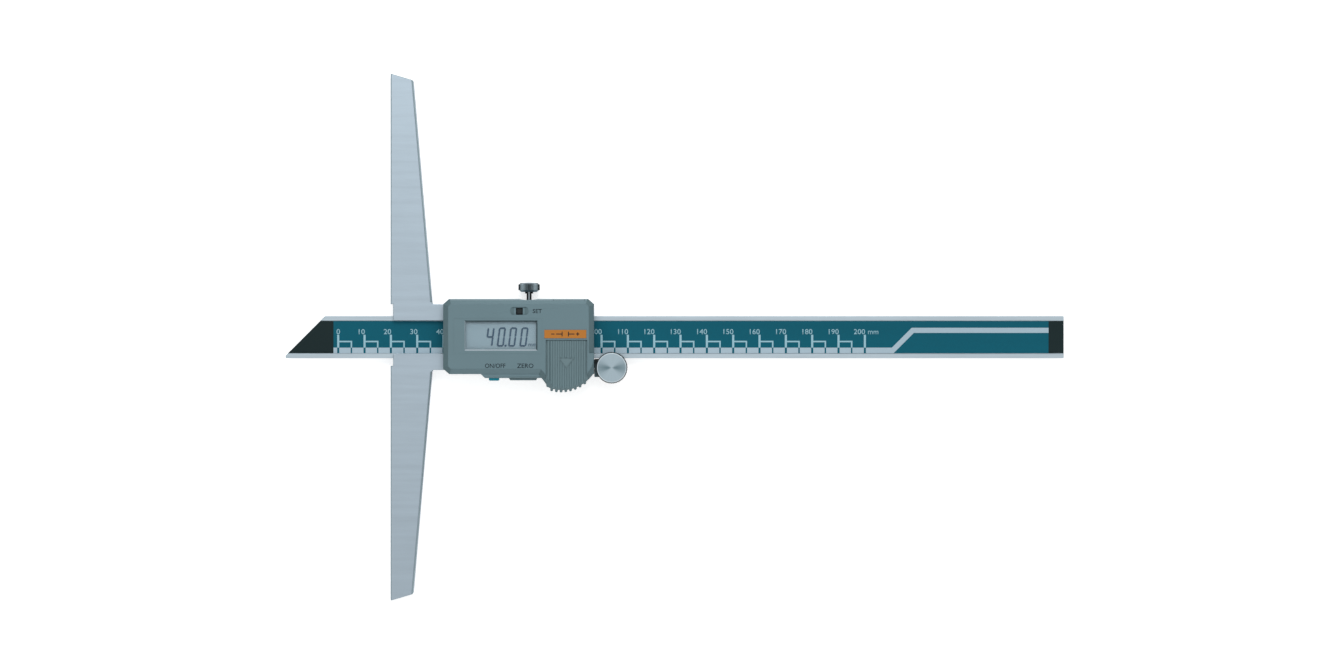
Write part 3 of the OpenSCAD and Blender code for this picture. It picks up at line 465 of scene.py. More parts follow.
@dataclass(frozen=True)
class RoundSteel(Finish):
    """Bright steel turned about an axis along Y, with painted shade at its sides and a painted highlight
    along its middle.
    """

    axis_x: float = 0.0
    radius: float = 0.001
    # Brightness by distance from the axis, in parts of the radius: a painted highlight and painted shade.
    tones: Stops = ((0.0, 1.0), (1.0, 0.1))
    specks: Noise = Noise(2600.0, rough=0.6)
    speck_range: Tuple[float, float] = (-0.05, 0.05)

    def fill(self, graph: Graph) -> None:
        """Fills the material's tree.

        Args:
            graph: The tree.
        """
        x = graph.split(graph.place(centre=(self.axis_x, 0.0, 0.0)))[0]
        # Painted light: the colour follows the distance from the axis.
        share = graph.maths("DIVIDE", graph.maths("ABSOLUTE", x), self.radius)
        specks = graph.noise(graph.place(), self.specks)
        ramp = graph.add("ShaderNodeValToRGB")
        set_stops(ramp, [(place, linear(self.colour, tone)) for place, tone in self.tones])
        graph.join(graph.maths("ADD", share, graph.vary(specks, *self.speck_range)), ramp.inputs["Fac"])
        graph.set(Base_Color=ramp.outputs["Color"], Metallic=1.0, Roughness=self.roughness,
                  Normal=self.raised(graph, specks))


@dataclass(frozen=True)
class MouldedPlastic(Finish):
    """Spark-eroded moulded plastic: fine grain, faint flow clouds, a little sheen and, where a shade colour
    is given, a painted band of it along Y.
    """

    depth: float = 0.00003
    relief: float = 0.35
    grain: float = 2600.0
    grain_rough: float = 0.6
    flow: Noise = Noise(70.0)
    shares: Tuple[float, float] = (0.45, 0.55)
    contrast: float = 0.035
    # Optional colour of a painted band along Y, blended in over the range of Y that follows.
    shade: Optional[Colour] = None
    shade_from: float = 0.0
    shade_to: float = 0.0

    def fill(self, graph: Graph) -> None:
        """Fills the material's tree.

        Args:
            graph: The tree.
        """
        place = graph.place()
        pits = graph.noise(place, Noise(self.grain, rough=self.grain_rough))
        clouds = graph.noise(place, self.flow)
        colour = graph.mottled(graph.mean(*zip((pits, clouds), self.shares)), self.colour, self.contrast)
        # Painted band along Y: a painted highlight on the case's top edge and a painted shadow on the
        # bracket's upper part.
        if self.shade is not None:
            share = graph.spread(graph.split(place)[1], self.shade_from, self.shade_to)
            colour = graph.blend(share, colour, linear(self.shade))
        graph.set(Base_Color=colour, Roughness=self.uneven(graph, clouds), IOR=1.5, Specular_IOR_Level=0.3,
                  Normal=self.raised(graph, pits))


@dataclass(frozen=True)
class PrintedLayer(Finish):
    """Screen-printed ink or coated film: fine mottle and a thin gloss."""

    roughness_range: Tuple[float, float] = (-0.03, 0.04)
    depth: float = 0.000004
    relief: float = 0.2
    mottle: float = 1500.0
    mottle_rough: float = 0.65
    wash: Noise = Noise(160.0, 2.0)
    shares: Tuple[float, float] = (0.5, 0.5)
    contrast: float = 0.05
    metallic: float = 0.0
    coat: float = 0.0

    def fill(self, graph: Graph) -> None:
        """Fills the material's tree.

        Args:
            graph: The tree.
        """
        specks = graph.noise(graph.place(), Noise(self.mottle, rough=self.mottle_rough))
        wash = graph.noise(graph.place(Axis.X.value), self.wash)
        colour = graph.mottled(graph.mean(*zip((specks, wash), self.shares)), self.colour, self.contrast)
        graph.set(Base_Color=colour, Roughness=self.uneven(graph, specks), Metallic=self.metallic,
                  Coat_Weight=self.coat, Coat_Roughness=0.15, Specular_IOR_Level=0.12,
                  Normal=self.raised(graph, specks))


@dataclass(frozen=True)
class DisplayPanel(Finish):
    """Reflective liquid crystal panel: a pale grain, with a painted shadow along its upper edge."""

    depth: float = 0.000003
    relief: float = 0.2
    grain: Noise = Noise(9000.0, 2.0, 0.6)
    clouds: Noise = Noise(130.0, 2.0)
    tone_from: float = 0.7
    tone_to: float = 1.3
    contrast: float = 0.1
    high_edge: float = 0.0063
    shade: Colour = (118, 140, 150)
    shade_w: float = 0.0011
    shade_dark_w: float = 0.0003
    shade_share: float = 0.8

    def fill(self, graph: Graph) -> None:
        """Fills the material's tree.

        Args:
            graph: The tree.
        """
        place = graph.place()
        grain = graph.noise(place, self.grain)
        clouds = graph.noise(place, self.clouds)
        # Painted shadow along the panel's upper edge, under the bezel.
        edge = graph.spread(graph.split(place)[1], self.high_edge - self.shade_w,
                            self.high_edge - self.shade_dark_w)
        tone = graph.spread(graph.maths("ADD", grain, clouds), self.tone_from, self.tone_to,
                            -self.contrast, self.contrast)
        shaded = graph.maths("ADD", graph.maths("MULTIPLY", edge, self.shade_share), tone)
        colour = graph.blend(graph.spread(shaded, 0.0, 1.0), linear(self.colour), linear(self.shade))
        graph.set(Base_Color=colour, Roughness=self.roughness, Specular_IOR_Level=0.4,
                  Normal=self.raised(graph, grain))


@dataclass(frozen=True)
class ClearWindow(Finish):
    """Hard clear plastic: mostly seen through, with faint wipe marks."""

    alpha: float = 0.05
    wipes: Noise = Noise(900.0, rough=0.6)
    wipe_from: float = 0.35
    wipe_to: float = 0.75
    wipe_gloss: float = 0.06
    wipe_tone: float = 0.94

    def fill(self, graph: Graph) -> None:
        """Fills the material's tree.

        Args:
            graph: The tree.
        """
        wipes = graph.noise(graph.place(Axis.X.value), self.wipes)
        gloss = graph.spread(wipes, self.wipe_from, self.wipe_to, self.roughness,
                             self.roughness + self.wipe_gloss)
        graph.set(Base_Color=graph.blend(wipes, linear(self.colour), linear(self.colour, self.wipe_tone)),
                  Roughness=gloss, IOR=1.49, Alpha=self.alpha)
        graph.material.surface_render_method = "BLENDED"


class Finishes:
    """Every finish of the gauge, by where it is used."""

    base = GroundSteel("ground_steel_base", (172, 187, 198), 0.4, grain=Axis.X, contrast=0.05)
    # Darker, less metallic steel: painted shade on the sides of the base and the rod.
    steel_edge = GroundSteel("ground_steel_edge", (154, 176, 184), 0.4, metallic=0.2)
    rod = GroundSteel("ground_steel_rod", (185, 200, 209), 0.36, grain=Axis.X)
    screw = GroundSteel("black_oxide_steel", (84, 94, 98), 0.38, contrast=0.12)
    small_steel = GroundSteel("zinc_steel", (168, 178, 184), 0.35, contrast=0.1)
    # Dark steel for the knurled rim.
    knurl = GroundSteel("dark_knurl_steel", (46, 58, 62), 0.5, contrast=0.16, metallic=0.3)
    stem = GroundSteel("polished_stem_steel", (170, 184, 192), 0.2, contrast=0.05)
    brass = GroundSteel("brass_gib", (190, 160, 92), 0.35, grain=Axis.X, contrast=0.08)
    gold = GroundSteel("gilt_contact", (216, 180, 92), 0.25, contrast=0.08)
    # Wheel face: turned steel with painted reflection fans and painted highlights.
    wheel = TurnedSteel("turned_wheel_face", (171, 189, 198), 0.34)
    # Lock screw steels, whose brightness across the axis is painted highlight and painted shade.
    lock_knurl = RoundSteel("lock_knurl_steel", (160, 178, 186), 0.3, tones=(
        (0.0, 0.5), (0.35, 0.5), (0.62, 1.0), (0.8, 0.7), (0.9, 0.12), (1.0, 0.04)))
    lock_end = RoundSteel("lock_end_steel", (176, 190, 198), 0.25, tones=(
        (0.0, 1.0), (0.4, 0.95), (0.6, 0.5), (0.7, 0.12), (1.0, 0.04)))
    lock_stem = RoundSteel("lock_stem_steel", (190, 204, 210), 0.2, tones=(
        (0.0, 0.95), (0.1, 0.7), (0.3, 0.12), (0.7, 0.04), (1.0, 0.03)))
    # The case's shade colour is a painted highlight along its top edge, over the range of Y given.
    case = MouldedPlastic("case_grey_plastic", (109, 135, 143), 0.52, shade=(168, 187, 194),
                          shade_from=0.0138, shade_to=0.0144)
    # Lit and shaded copies of the case plastic: the slopes of the long sides get painted light, those of the
    # ends painted shade.
    case_slope = replace(case, name="case_slope_plastic", colour=(117, 143, 151))
    case_end = MouldedPlastic("case_end_plastic", (99, 123, 129), 0.52)
    cover = MouldedPlastic("cover_grey_plastic", (110, 134, 140), 0.48)
    # Lit, half lit and dim copies of the plastic for the window's slopes: painted highlight and painted
    # shade.
    lit_slope = MouldedPlastic("lit_slope_plastic", (192, 207, 215), 0.4)
    side_slope = MouldedPlastic("side_slope_plastic", (150, 170, 178), 0.45)
    dim_slope = MouldedPlastic("dim_slope_plastic", (72, 90, 95), 0.55)
    # The bracket's shade colour is a painted shadow over its upper part.
    bracket = MouldedPlastic("bracket_grey_paint", (94, 114, 119), 0.5, grain=3400.0, shade=(30, 42, 44),
                             shade_from=-0.0116, shade_to=-0.0098)
    key_teal = MouldedPlastic("teal_key_plastic", (0, 148, 170), 0.55, contrast=0.05)
    key_black = MouldedPlastic("black_key_plastic", (26, 36, 38), 0.5, contrast=0.1)
    black_plastic = MouldedPlastic("black_moulded_plastic", (34, 38, 40), 0.5, contrast=0.12)
    roller = MouldedPlastic("black_roller_rubber", (38, 39, 40), 0.75, grain=4200.0, contrast=0.15)
    zebra = MouldedPlastic("striped_rubber", (206, 130, 132), 0.7, grain=5200.0, contrast=0.1)
    board = PrintedLayer("board_lacquer", (28, 92, 56), 0.35, mottle=700.0, contrast=0.1, coat=0.4)
    strip = PrintedLayer("black_scale_strip", (26, 43, 45), 0.5, contrast=0.08)
    film = PrintedLayer("teal_scale_film", (9, 95, 114), 0.6, contrast=0.07)
    mark = PrintedLayer("pale_blue_ink", (158, 200, 214), 0.5, contrast=0.04)
    band = PrintedLayer("silver_ink", (174, 196, 209), 0.45, contrast=0.04, metallic=0.25)
    ink = PrintedLayer("dark_label_ink", (34, 46, 51), 0.6, contrast=0.08)
    orange = PrintedLayer("orange_label_paint", (193, 125, 56), 0.55, contrast=0.04)
    digit = PrintedLayer("display_segments", (52, 80, 104), 0.5, contrast=0.06)
    # A copy of the figures in a paler tone, set aside: their painted shadow on the panel.
    ghost = PrintedLayer("segment_shade", (124, 147, 159), 0.6, contrast=0.04)
    panel = DisplayPanel("display_panel", (149, 175, 187), 0.45)
    window = ClearWindow("window_plastic", (190, 206, 214), 0.06)


class Bench:
    """Hand work that every piece shares: copying, merging, softening, joining and placing."""

    flat_angle = 0.05
    round_angle = 32.0

    @staticmethod
    def clear() -> None:
        """Leaves edit mode and deselects everything."""
        if bpy.context.object and bpy.context.object.mode != "OBJECT":
            bpy.ops.object.mode_set(mode="OBJECT")
        bpy.ops.object.select_all(action="DESELECT")

    @classmethod
    def pick(cls, *pieces: bpy.types.Object) -> None:
        """Selects pieces and makes the first one active.

        Args:
            pieces: The objects.
        """
        cls.clear()
        for piece in pieces:
            piece.select_set(True)
        bpy.context.view_layer.objects.active = pieces[0]

    @classmethod
    def settle(cls, piece: bpy.types.Object, name: Optional[str] = None) -> bpy.types.Object:
        """Moves a piece's place, turn and size into its mesh.

        Args:
            piece: The object.
            name: Its new name.

        Returns:
            The object.
        """
        cls.pick(piece)
        bpy.ops.object.transform_apply(location=True, rotation=True, scale=True)
        if name:
            piece.name = name
            piece.data.name = name
        return piece

    @classmethod
    def join(cls, pieces: Sequence[bpy.types.Object], name: str) -> bpy.types.Object:
        """Joins pieces into one that sits at the origin.

        Args:
            pieces: The objects.
            name: Name of the result.

        Returns:
            The joined object.
        """
        for piece in pieces:
            cls.settle(piece)
        cls.pick(*pieces)
        if len(pieces) > 1:
            bpy.ops.object.join()
        return cls.settle(pieces[0], name)

    @classmethod
    def bar(cls, middle: Point, size: Point, corner: float) -> bpy.types.Object:
        """Models a thin flat bar with cut corners.

        Args:
            middle: Its middle in metres.
            size: Its length, width and thickness in metres.
            corner: Width of the cut at its upright edges in metres.

        Returns:
            The object.
        """
        cls.clear()
        bpy.ops.mesh.primitive_cube_add(size=1.0, location=middle)
        piece = bpy.context.object
        piece.scale = size
        cls.settle(piece)
        bpy.ops.object.mode_set(mode="EDIT")
        bpy.ops.mesh.select_all(action="DESELECT")
        mesh = bmesh.from_edit_mesh(piece.data)
        for edge in mesh.edges:
            a, b = (v.co for v in edge.verts)
            edge.select_set(abs(a.z - b.z) > size[2] / 2)
        bmesh.update_edit_mesh(piece.data)
        bpy.ops.mesh.bevel(offset=corner, segments=1, affect="EDGES")
        bpy.ops.object.mode_set(mode="OBJECT")
        return piece

    @classmethod
    def copy(cls, piece: bpy.types.Object) -> bpy.types.Object:
        """Copies a piece with a mesh of its own.

        Args:
            piece: The object.

        Returns:
            The copy.
        """
        twin = bpy.data.objects.new(piece.name, piece.data.copy())
        twin.matrix_world = piece.matrix_world.copy()
        bpy.context.scene.collection.objects.link(twin)
        return twin

    @staticmethod
    def inside(place: Vector, boxes: Sequence[Box]) -> bool:
        """Tells whether a place in metres lies in one of the boxes, given in millimetres."""
        return any(all(a <= c <= b for a, c, b in zip(low, place / MM, high)) for low, high in boxes)

    @classmethod
    def merged_copy(cls, node: str, name: str, keep_out: Sequence[Box] = (),
                    weld: float = WELD) -> bpy.types.Object:
        """Copies a CAD node, joins its loose triangles and merges the flat ones into whole faces.

        Args:
            node: Name of the CAD node.
            name: Name of the copy.
            keep_out: Boxes whose faces aren't merged.
            weld: Points nearer to each other than this, in metres, become one.

        Returns:
            The copy.
        """
        piece = bpy.data.objects.new(name, frame["nodes"][node].data.copy())
        piece.data.name = name
        bpy.context.scene.collection.objects.link(piece)
        cls.pick(piece)
        bpy.ops.mesh.customdata_custom_splitnormals_clear()
        bpy.ops.object.mode_set(mode="EDIT")
        bpy.ops.mesh.select_all(action="SELECT")
        bpy.ops.mesh.remove_doubles(threshold=weld)
        bpy.ops.mesh.select_mode(type="FACE")
        bpy.ops.mesh.select_all(action="DESELECT")
        mesh = bmesh.from_edit_mesh(piece.data)
        for face in mesh.faces:
            face.select_set(not cls.inside(face.calc_center_median(), keep_out))
        bmesh.update_edit_mesh(piece.data)
        bpy.ops.mesh.dissolve_limited(angle_limit=math.radians(cls.flat_angle))
        bpy.ops.object.mode_set(mode="OBJECT")
        return piece

    @classmethod
    def soften(cls, piece: bpy.types.Object, width: float, segments: int = 2,
               keep_out: Sequence[Box] = ()) -> None:
        """Rounds a piece's outward sharp edges and shades it, with its broad faces kept flat.

        Args:
            piece: The object.
            width: Width of the rounding in metres.
            segments: Steps of the rounding.
            keep_out: Boxes whose edges stay sharp.
        """
        cls.shade(piece)
        bpy.ops.object.mode_set(mode="EDIT")
        bpy.ops.mesh.select_mode(type="EDGE")
        bpy.ops.mesh.select_all(action="DESELECT")
        mesh = bmesh.from_edit_mesh(piece.data)
        for edge in mesh.edges:
            if len(edge.link_faces) != 2 or not edge.is_convex:
                continue
            kept = cls.inside((edge.verts[0].co + edge.verts[1].co) / 2, keep_out)
            edge.select_set(edge.calc_face_angle() > math.radians(cls.round_angle) and not kept)
        bmesh.update_edit_mesh(piece.data)
        bpy.ops.mesh.bevel(offset=width, segments=segments, affect="EDGES", clamp_overlap=False,
                           harden_normals=True, miter_outer="SHARP")
        bpy.ops.object.mode_set(mode="OBJECT")

    @classmethod
    def shade(cls, piece: bpy.types.Object, angle: float = 38.0) -> None:
        """Shades a piece smoothly, apart from edges that are sharper than an angle in degrees."""
        cls.pick(piece)
        bpy.ops.object.shade_smooth_by_angle(angle=math.radians(angle))

    @classmethod
    def level(cls, piece: bpy.types.Object) -> bpy.types.Object:
        """Lets a piece's broad faces set the shading along their edges.

        Args:
            piece: The object.

        Returns:
            The object.
        """
        cls.pick(piece)
        bpy.ops.mesh.customdata_custom_splitnormals_clear()
        cls.shade(piece)
        bpy.ops.object.modifier_add(type="WEIGHTED_NORMAL")
        piece.modifiers[-1].keep_sharp = True
        bpy.ops.object.modifier_apply(modifier=piece.modifiers[-1].name)
        return piece

    @staticmethod
    def paint(piece: bpy.types.Object, finish: Finish) -> None:
        """Gives a piece its finish all over.

        Args:
            piece: The object.
            finish: The finish.
        """
        piece.data.materials.clear()
        piece.data.materials.append(finish.build())
        for face in piece.data.polygons:
            face.material_index = 0

    @staticmethod
    def tint(piece: bpy.types.Object, finish: Finish, choose: Choice) -> None:
        """Gives some faces of a piece a finish of their own.

        Args:
            piece: The object.
            finish: Their finish.
            choose: Says from a face's middle and its normal whether it takes the finish.
        """
        piece.data.materials.append(finish.build())
        for face in piece.data.polygons:
            if choose(face.center, face.normal):
                face.material_index = len(piece.data.materials) - 1


@dataclass
class Assembly:
    """A sub-assembly that rides on one CAD body."""

    body: str = "slider"

    def keep(self, finish: Finish, *nodes: str) -> None:
        """Gives CAD nodes, which stay as they are, their finish.

        Args:
            finish: The finish.
            nodes: Names of the nodes.
        """
        material = finish.build()
        for node in nodes:
            for slot in frame["nodes"][node].material_slots:
                slot.material = material
            LOG.info("%s: CAD node in %s", node, finish.name)

    def fit(self, piece: bpy.types.Object, slot: str, *nodes: str) -> bpy.types.Object:
        """Lets a new piece ride on the body and stand for its nodes.

        Args:
            piece: The object.
            slot: Not used.
            nodes: CAD nodes that it replaces.

        Returns:
            The object.
        """
        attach(piece, self.body)
        if nodes:
            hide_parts(*nodes)
        LOG.info("%s: %d faces, rides on %s", piece.name, len(piece.data.polygons), self.body)
        return piece

    def lay(self, sheet: bpy.types.Object, finish: Finish, node: str) -> None:
        """Paints a printed sheet and lets it ride on the body."""
        Bench.paint(sheet, finish)
        self.fit(sheet, SLOT_OF[node])

    def stand_for(self, piece: bpy.types.Object, finish: Finish, node: str) -> bpy.types.Object:
        """Paints a node's copy, lets it ride on the body in the node's place, and returns it."""
        Bench.paint(piece, finish)
        return self.fit(piece, SLOT_OF[node], node)

    @staticmethod
    def dull_rim(piece: bpy.types.Object, node: str, depth: float, level: float = 0.9) -> None:
        """Gives the sides of a node's copy the darker edge steel, a painted shade, down to a depth in
        millimetres.
        """
        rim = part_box(node)[1][2] - depth * MM
        # Painted shade: faces below the top, down to the depth and not facing up, take the darker edge steel.
        Bench.tint(piece, Finishes.steel_edge, lambda place, normal: place.z > rim and normal.z < level)

    def soft_node(self, node: str, finish: Finish, width: float, keep_out: Sequence[Box] = (),
                  weld: float = WELD) -> bpy.types.Object:
        """Stands for a CAD node with a copy that has rounded edges.

        Args:
            node: Name of the node, which the new piece's name starts with.
            finish: The finish.
            width: Width of the rounding in millimetres.
            keep_out: Boxes whose edges stay sharp.
            weld: Points nearer to each other than this, in metres, become one.

        Returns:
            The new piece.
        """
        piece = Bench.merged_copy(node, node + "_soft", keep_out, weld)
        Bench.soften(piece, width * MM, keep_out=keep_out)
        return self.stand_for(piece, finish, node)


@dataclass(frozen=True)
class Label:
    """A printed word: its place and height in millimetres, which edge stands there and its stretch."""

    text: str
    place: Tuple[float, float]
    height: float = 1.64
    align: Align = Align.CENTRE
    stretch: float = 1.04


class Lettering:
    """Lines of plain lettering, cut as thin meshes."""

    curve_steps = 3
    point_weld = 0.000001

    def __init__(self, thickness: float) -> None:
        """Measures the font's figures.

        Args:
            thickness: Thickness of the ink in millimetres.
        """
        self.thickness = thickness * MM
        probe = self.raw("0", 0.0)
        tall = [v.co.y for v in probe.data.vertices]
        self.figure = max(tall) - min(tall)
        bpy.data.objects.remove(probe)

    def raw(self, text: str, weight: float) -> bpy.types.Object:
        """Makes a line of text at the origin, one unit in size, as a mesh.

        Args:
            text: The characters.
            weight: Added thickness of the strokes.

        Returns:
            The mesh object.
        """
        Bench.clear()
        bpy.ops.object.text_add(location=(0.0, 0.0, 0.0))
        piece = bpy.context.object
        piece.data.body = text
        piece.data.offset = weight
        piece.data.resolution_u = self.curve_steps
        bpy.ops.object.convert(target="MESH")
        return bpy.context.object

    def line(self, text: str, place: Point, height: float, align: Align, stretch: float,
             weight: float) -> bpy.types.Object:
        """Makes a line of text that stands on its place.

        Args:
            text: The characters.
            place: Point on its baseline, in millimetres.
            height: Height of its figures in millimetres.
            align: Which edge stands at the place.
            stretch: Factor on its width.
            weight: Added thickness of the strokes, in parts of the size.

        Returns:
            The object, with its place in its mesh.
        """
        piece = self.raw(text, weight)
        size = height * MM / self.figure
        wide = [v.co.x for v in piece.data.vertices]
        start = min(wide) + (max(wide) - min(wide)) * align.value
        move = Matrix.Translation(Vector(place) * MM)
        grow = Matrix.Diagonal((size * stretch, size, 1.0, 1.0))
        piece.data.transform(move @ grow @ Matrix.Translation((-start, 0.0, 0.0)))
        Bench.pick(piece)
        bpy.ops.object.mode_set(mode="EDIT")
        bpy.ops.mesh.select_all(action="SELECT")
        bpy.ops.mesh.remove_doubles(threshold=self.point_weld)
        bpy.ops.mesh.extrude_region_move(TRANSFORM_OT_translate={"value": (0.0, 0.0, self.thickness)})
        bpy.ops.mesh.select_all(action="SELECT")
        bpy.ops.mesh.normals_make_consistent(inside=False)
        bpy.ops.object.mode_set(mode="OBJECT")
        return piece

    def word(self, label: Label, level: float, weight: float = 0.0) -> bpy.types.Object:
        """Makes a label's word, with its foot at a level in millimetres."""
        return self.line(label.text, (*label.place, level), label.height, label.align, label.stretch, weight)


@dataclass
class ReferenceBase(Assembly):
    """The T base with its gib and the screws in it."""

    edge: float = 0.18
    weld: float = 0.00002
    rim: float = 0.8

    def build(self) -> None:
        """Dresses the base."""
        piece = Bench.level(self.soft_node("base_frame", Finishes.base, self.edge, weld=self.weld))
        self.dull_rim(piece, "base_frame", self.rim)
        self.keep(Finishes.brass, "gib_strip")
        self.keep(Finishes.screw, "gib_screws", "housing_screws", "bracket_screws")


@dataclass
class DepthRod(Assembly):
    """The rod with its scale, numbers and stop plate."""

    body: str = "rod"
    edge: float = 0.12
    rim: float = 0.3
    recess: Box = ((-50.0, -6.5, 0.0), (300.0, 6.5, 5.75))
    zero_x: float = -20.0
    step: int = 10
    top: int = 200
    figure_h: float = 1.95
    figure_y: float = 1.12
    figure_stretch: float = 1.06
    figure_weight: float = 0.012
    figure_nudge: float = 0.1
    unit_gap: float = 1.2
    unit_stretch: float = 0.98
    unit_weight: float = 0.008
    ink: float = 0.03

    def build(self) -> None:
        """Dresses the rod and prints its numbers."""
        piece = self.soft_node("rod", Finishes.rod, self.edge, keep_out=[self.recess])
        self.dull_rim(piece, "rod", self.rim)
        self.keep(Finishes.strip, "scale_strip")
        self.keep(Finishes.film, "scale_film")
        self.keep(Finishes.mark, "scale_marks")
        self.keep(Finishes.band, "scale_band")
        self.keep(Finishes.screw, "rod_stop")
        self.keep(Finishes.small_steel, "stop_screws")
        self.numbers()

    def numbers(self) -> None:
        """Prints 0 to 200 above the marks, and the unit."""
        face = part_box("scale_film")[1][2] / MM
        press = Lettering(self.ink)
        lines = []
        for value in range(0, self.top + 1, self.step):
            align, nudge = (Align.RIGHT, self.figure_nudge) if value else (Align.CENTRE, 0.0)
            lines.append(press.line(str(value), (self.zero_x + value + nudge, self.figure_y, face),
                                    self.figure_h, align, self.figure_stretch, self.figure_weight))
        lines.append(press.line("mm", (self.zero_x + self.top + self.unit_gap, self.figure_y, face),
                                self.figure_h, Align.LEFT, self.unit_stretch, self.unit_weight))
        self.lay(Bench.join(lines, "scale_numbers"), Finishes.mark, "scale_marks")


@dataclass
class Housing(Assembly):
    """The moulded case with its labels and orange strip."""

    edge: float = 0.15
    set_slot: Box = ((44.9, 7.7, 0.0), (53.2, 12.0, 16.7))
    bay: Box = ((58.0, -30.0, 0.0), (76.0, -1.0, 14.5))
    bay_mouth: Box = ((57.0, -30.0, 0.0), (76.6, -13.5, 16.7))
    display: Box = ((24.0, -6.6, 15.5), (57.9, 7.4, 16.7))
    lean_least: float = 0.3
    lean_most: float = 0.95
    rise_least: float = 0.2
    below_face: float = 0.1
    strip_edge: float = 0.03
    words: Sequence[Label] = (
        Label("ON/OFF", (39.95, -11.62), stretch=0.92),
        Label("ZERO", (51.3, -11.62)),
        Label("SET", (54.1, 9.1), 1.54, Align.LEFT),
    )
    word_ink: float = 0.015
    word_weight: float = 0.008
    sign_ink: float = 0.02
    sign_line: float = 0.34
    sign_corner: float = 0.08
    lead_x: float = 2.35
    lead_l: float = 2.3
    plate_x: float = 1.2
    plate_l: float = 1.8
    pole_x: float = 4.7
    pole_l: float = 1.3

    def build(self) -> None:
        """Dresses the case and prints its labels."""
        sharp = [self.set_slot, self.bay, self.bay_mouth, self.display]
        piece = self.soft_node("housing", Finishes.case, self.edge, keep_out=sharp)
        # Painted light on the case's slopes: lighter on the long sides, darker at the ends.
        Bench.tint(piece, Finishes.case_slope, self.slopes(1))
        Bench.tint(piece, Finishes.case_end, self.slopes(0))
        self.orange_strip()
        self.labels()
        self.cell_mark()

    def slopes(self, axis: int) -> Choice:
        """Gives the test for the faces below the case's top that slope towards an axis.

        Args:
            axis: 0 for the case's ends and 1 for its long sides.

        Returns:
            The test of a face's middle and normal.
        """
        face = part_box("housing")[1][2] - self.below_face * MM
        return lambda place, normal: (self.lean_least < abs(normal[axis]) < self.lean_most
                                      and normal.z > self.rise_least and place.z < face)

    def orange_strip(self) -> None:
        """Dresses the orange strip, lower by the ink of the sign on it."""
        strip = Bench.merged_copy("label_strip", "label_strip_print")
        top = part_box("label_strip")[1][2] - self.sign_ink * MM
        for vertex in strip.data.vertices:
            vertex.co.z = min(vertex.co.z, top)
        Bench.soften(strip, self.strip_edge * MM, 1)
        self.stand_for(strip, Finishes.orange, "label_strip")

    def labels(self) -> None:
        """Prints the plain words beside the buttons."""
        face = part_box("housing")[1][2] / MM
        press = Lettering(self.word_ink)
        words = [press.word(label, face, self.word_weight) for label in self.words]
        self.lay(Bench.join(words, "button_labels"), Finishes.ink, "label_strip")

    def cell_mark(self) -> None:
        """Prints the sign of a cell, with its plus and minus, on the orange strip."""
        x, y, _ = middle_of("label_strip")
        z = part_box("label_strip")[1][2] - self.sign_ink * MM / 2
        bars = [
            (-self.lead_x, self.lead_l, self.sign_line), (self.lead_x, self.lead_l, self.sign_line),
            (-self.plate_x, self.sign_line, self.plate_l), (self.plate_x, self.sign_line, self.plate_l),
            (self.pole_x, self.pole_l, self.sign_line), (self.pole_x, self.sign_line, self.pole_l),
            (-self.pole_x, self.pole_l, self.sign_line),
        ]
        pieces = [Bench.bar((x + move * MM, y, z), (wide * MM, tall * MM, self.sign_ink * MM),
                            self.sign_corner * MM) for move, wide, tall in bars]
        self.lay(Bench.join(pieces, "cell_sign"), Finishes.ink, "label_strip")


class Segment(Enum):
    """The seven strokes of a display figure: centre and whether it lies flat, in parts of its cell."""

    TOP = (0.5, 1.0, True)
    HIGH_RIGHT = (1.0, 0.75, False)
    LOW_RIGHT = (1.0, 0.25, False)
    FOOT = (0.5, 0.0, True)
    LOW_LEFT = (0.0, 0.25, False)
    HIGH_LEFT = (0.0, 0.75, False)
    MIDDLE = (0.5, 0.5, True)


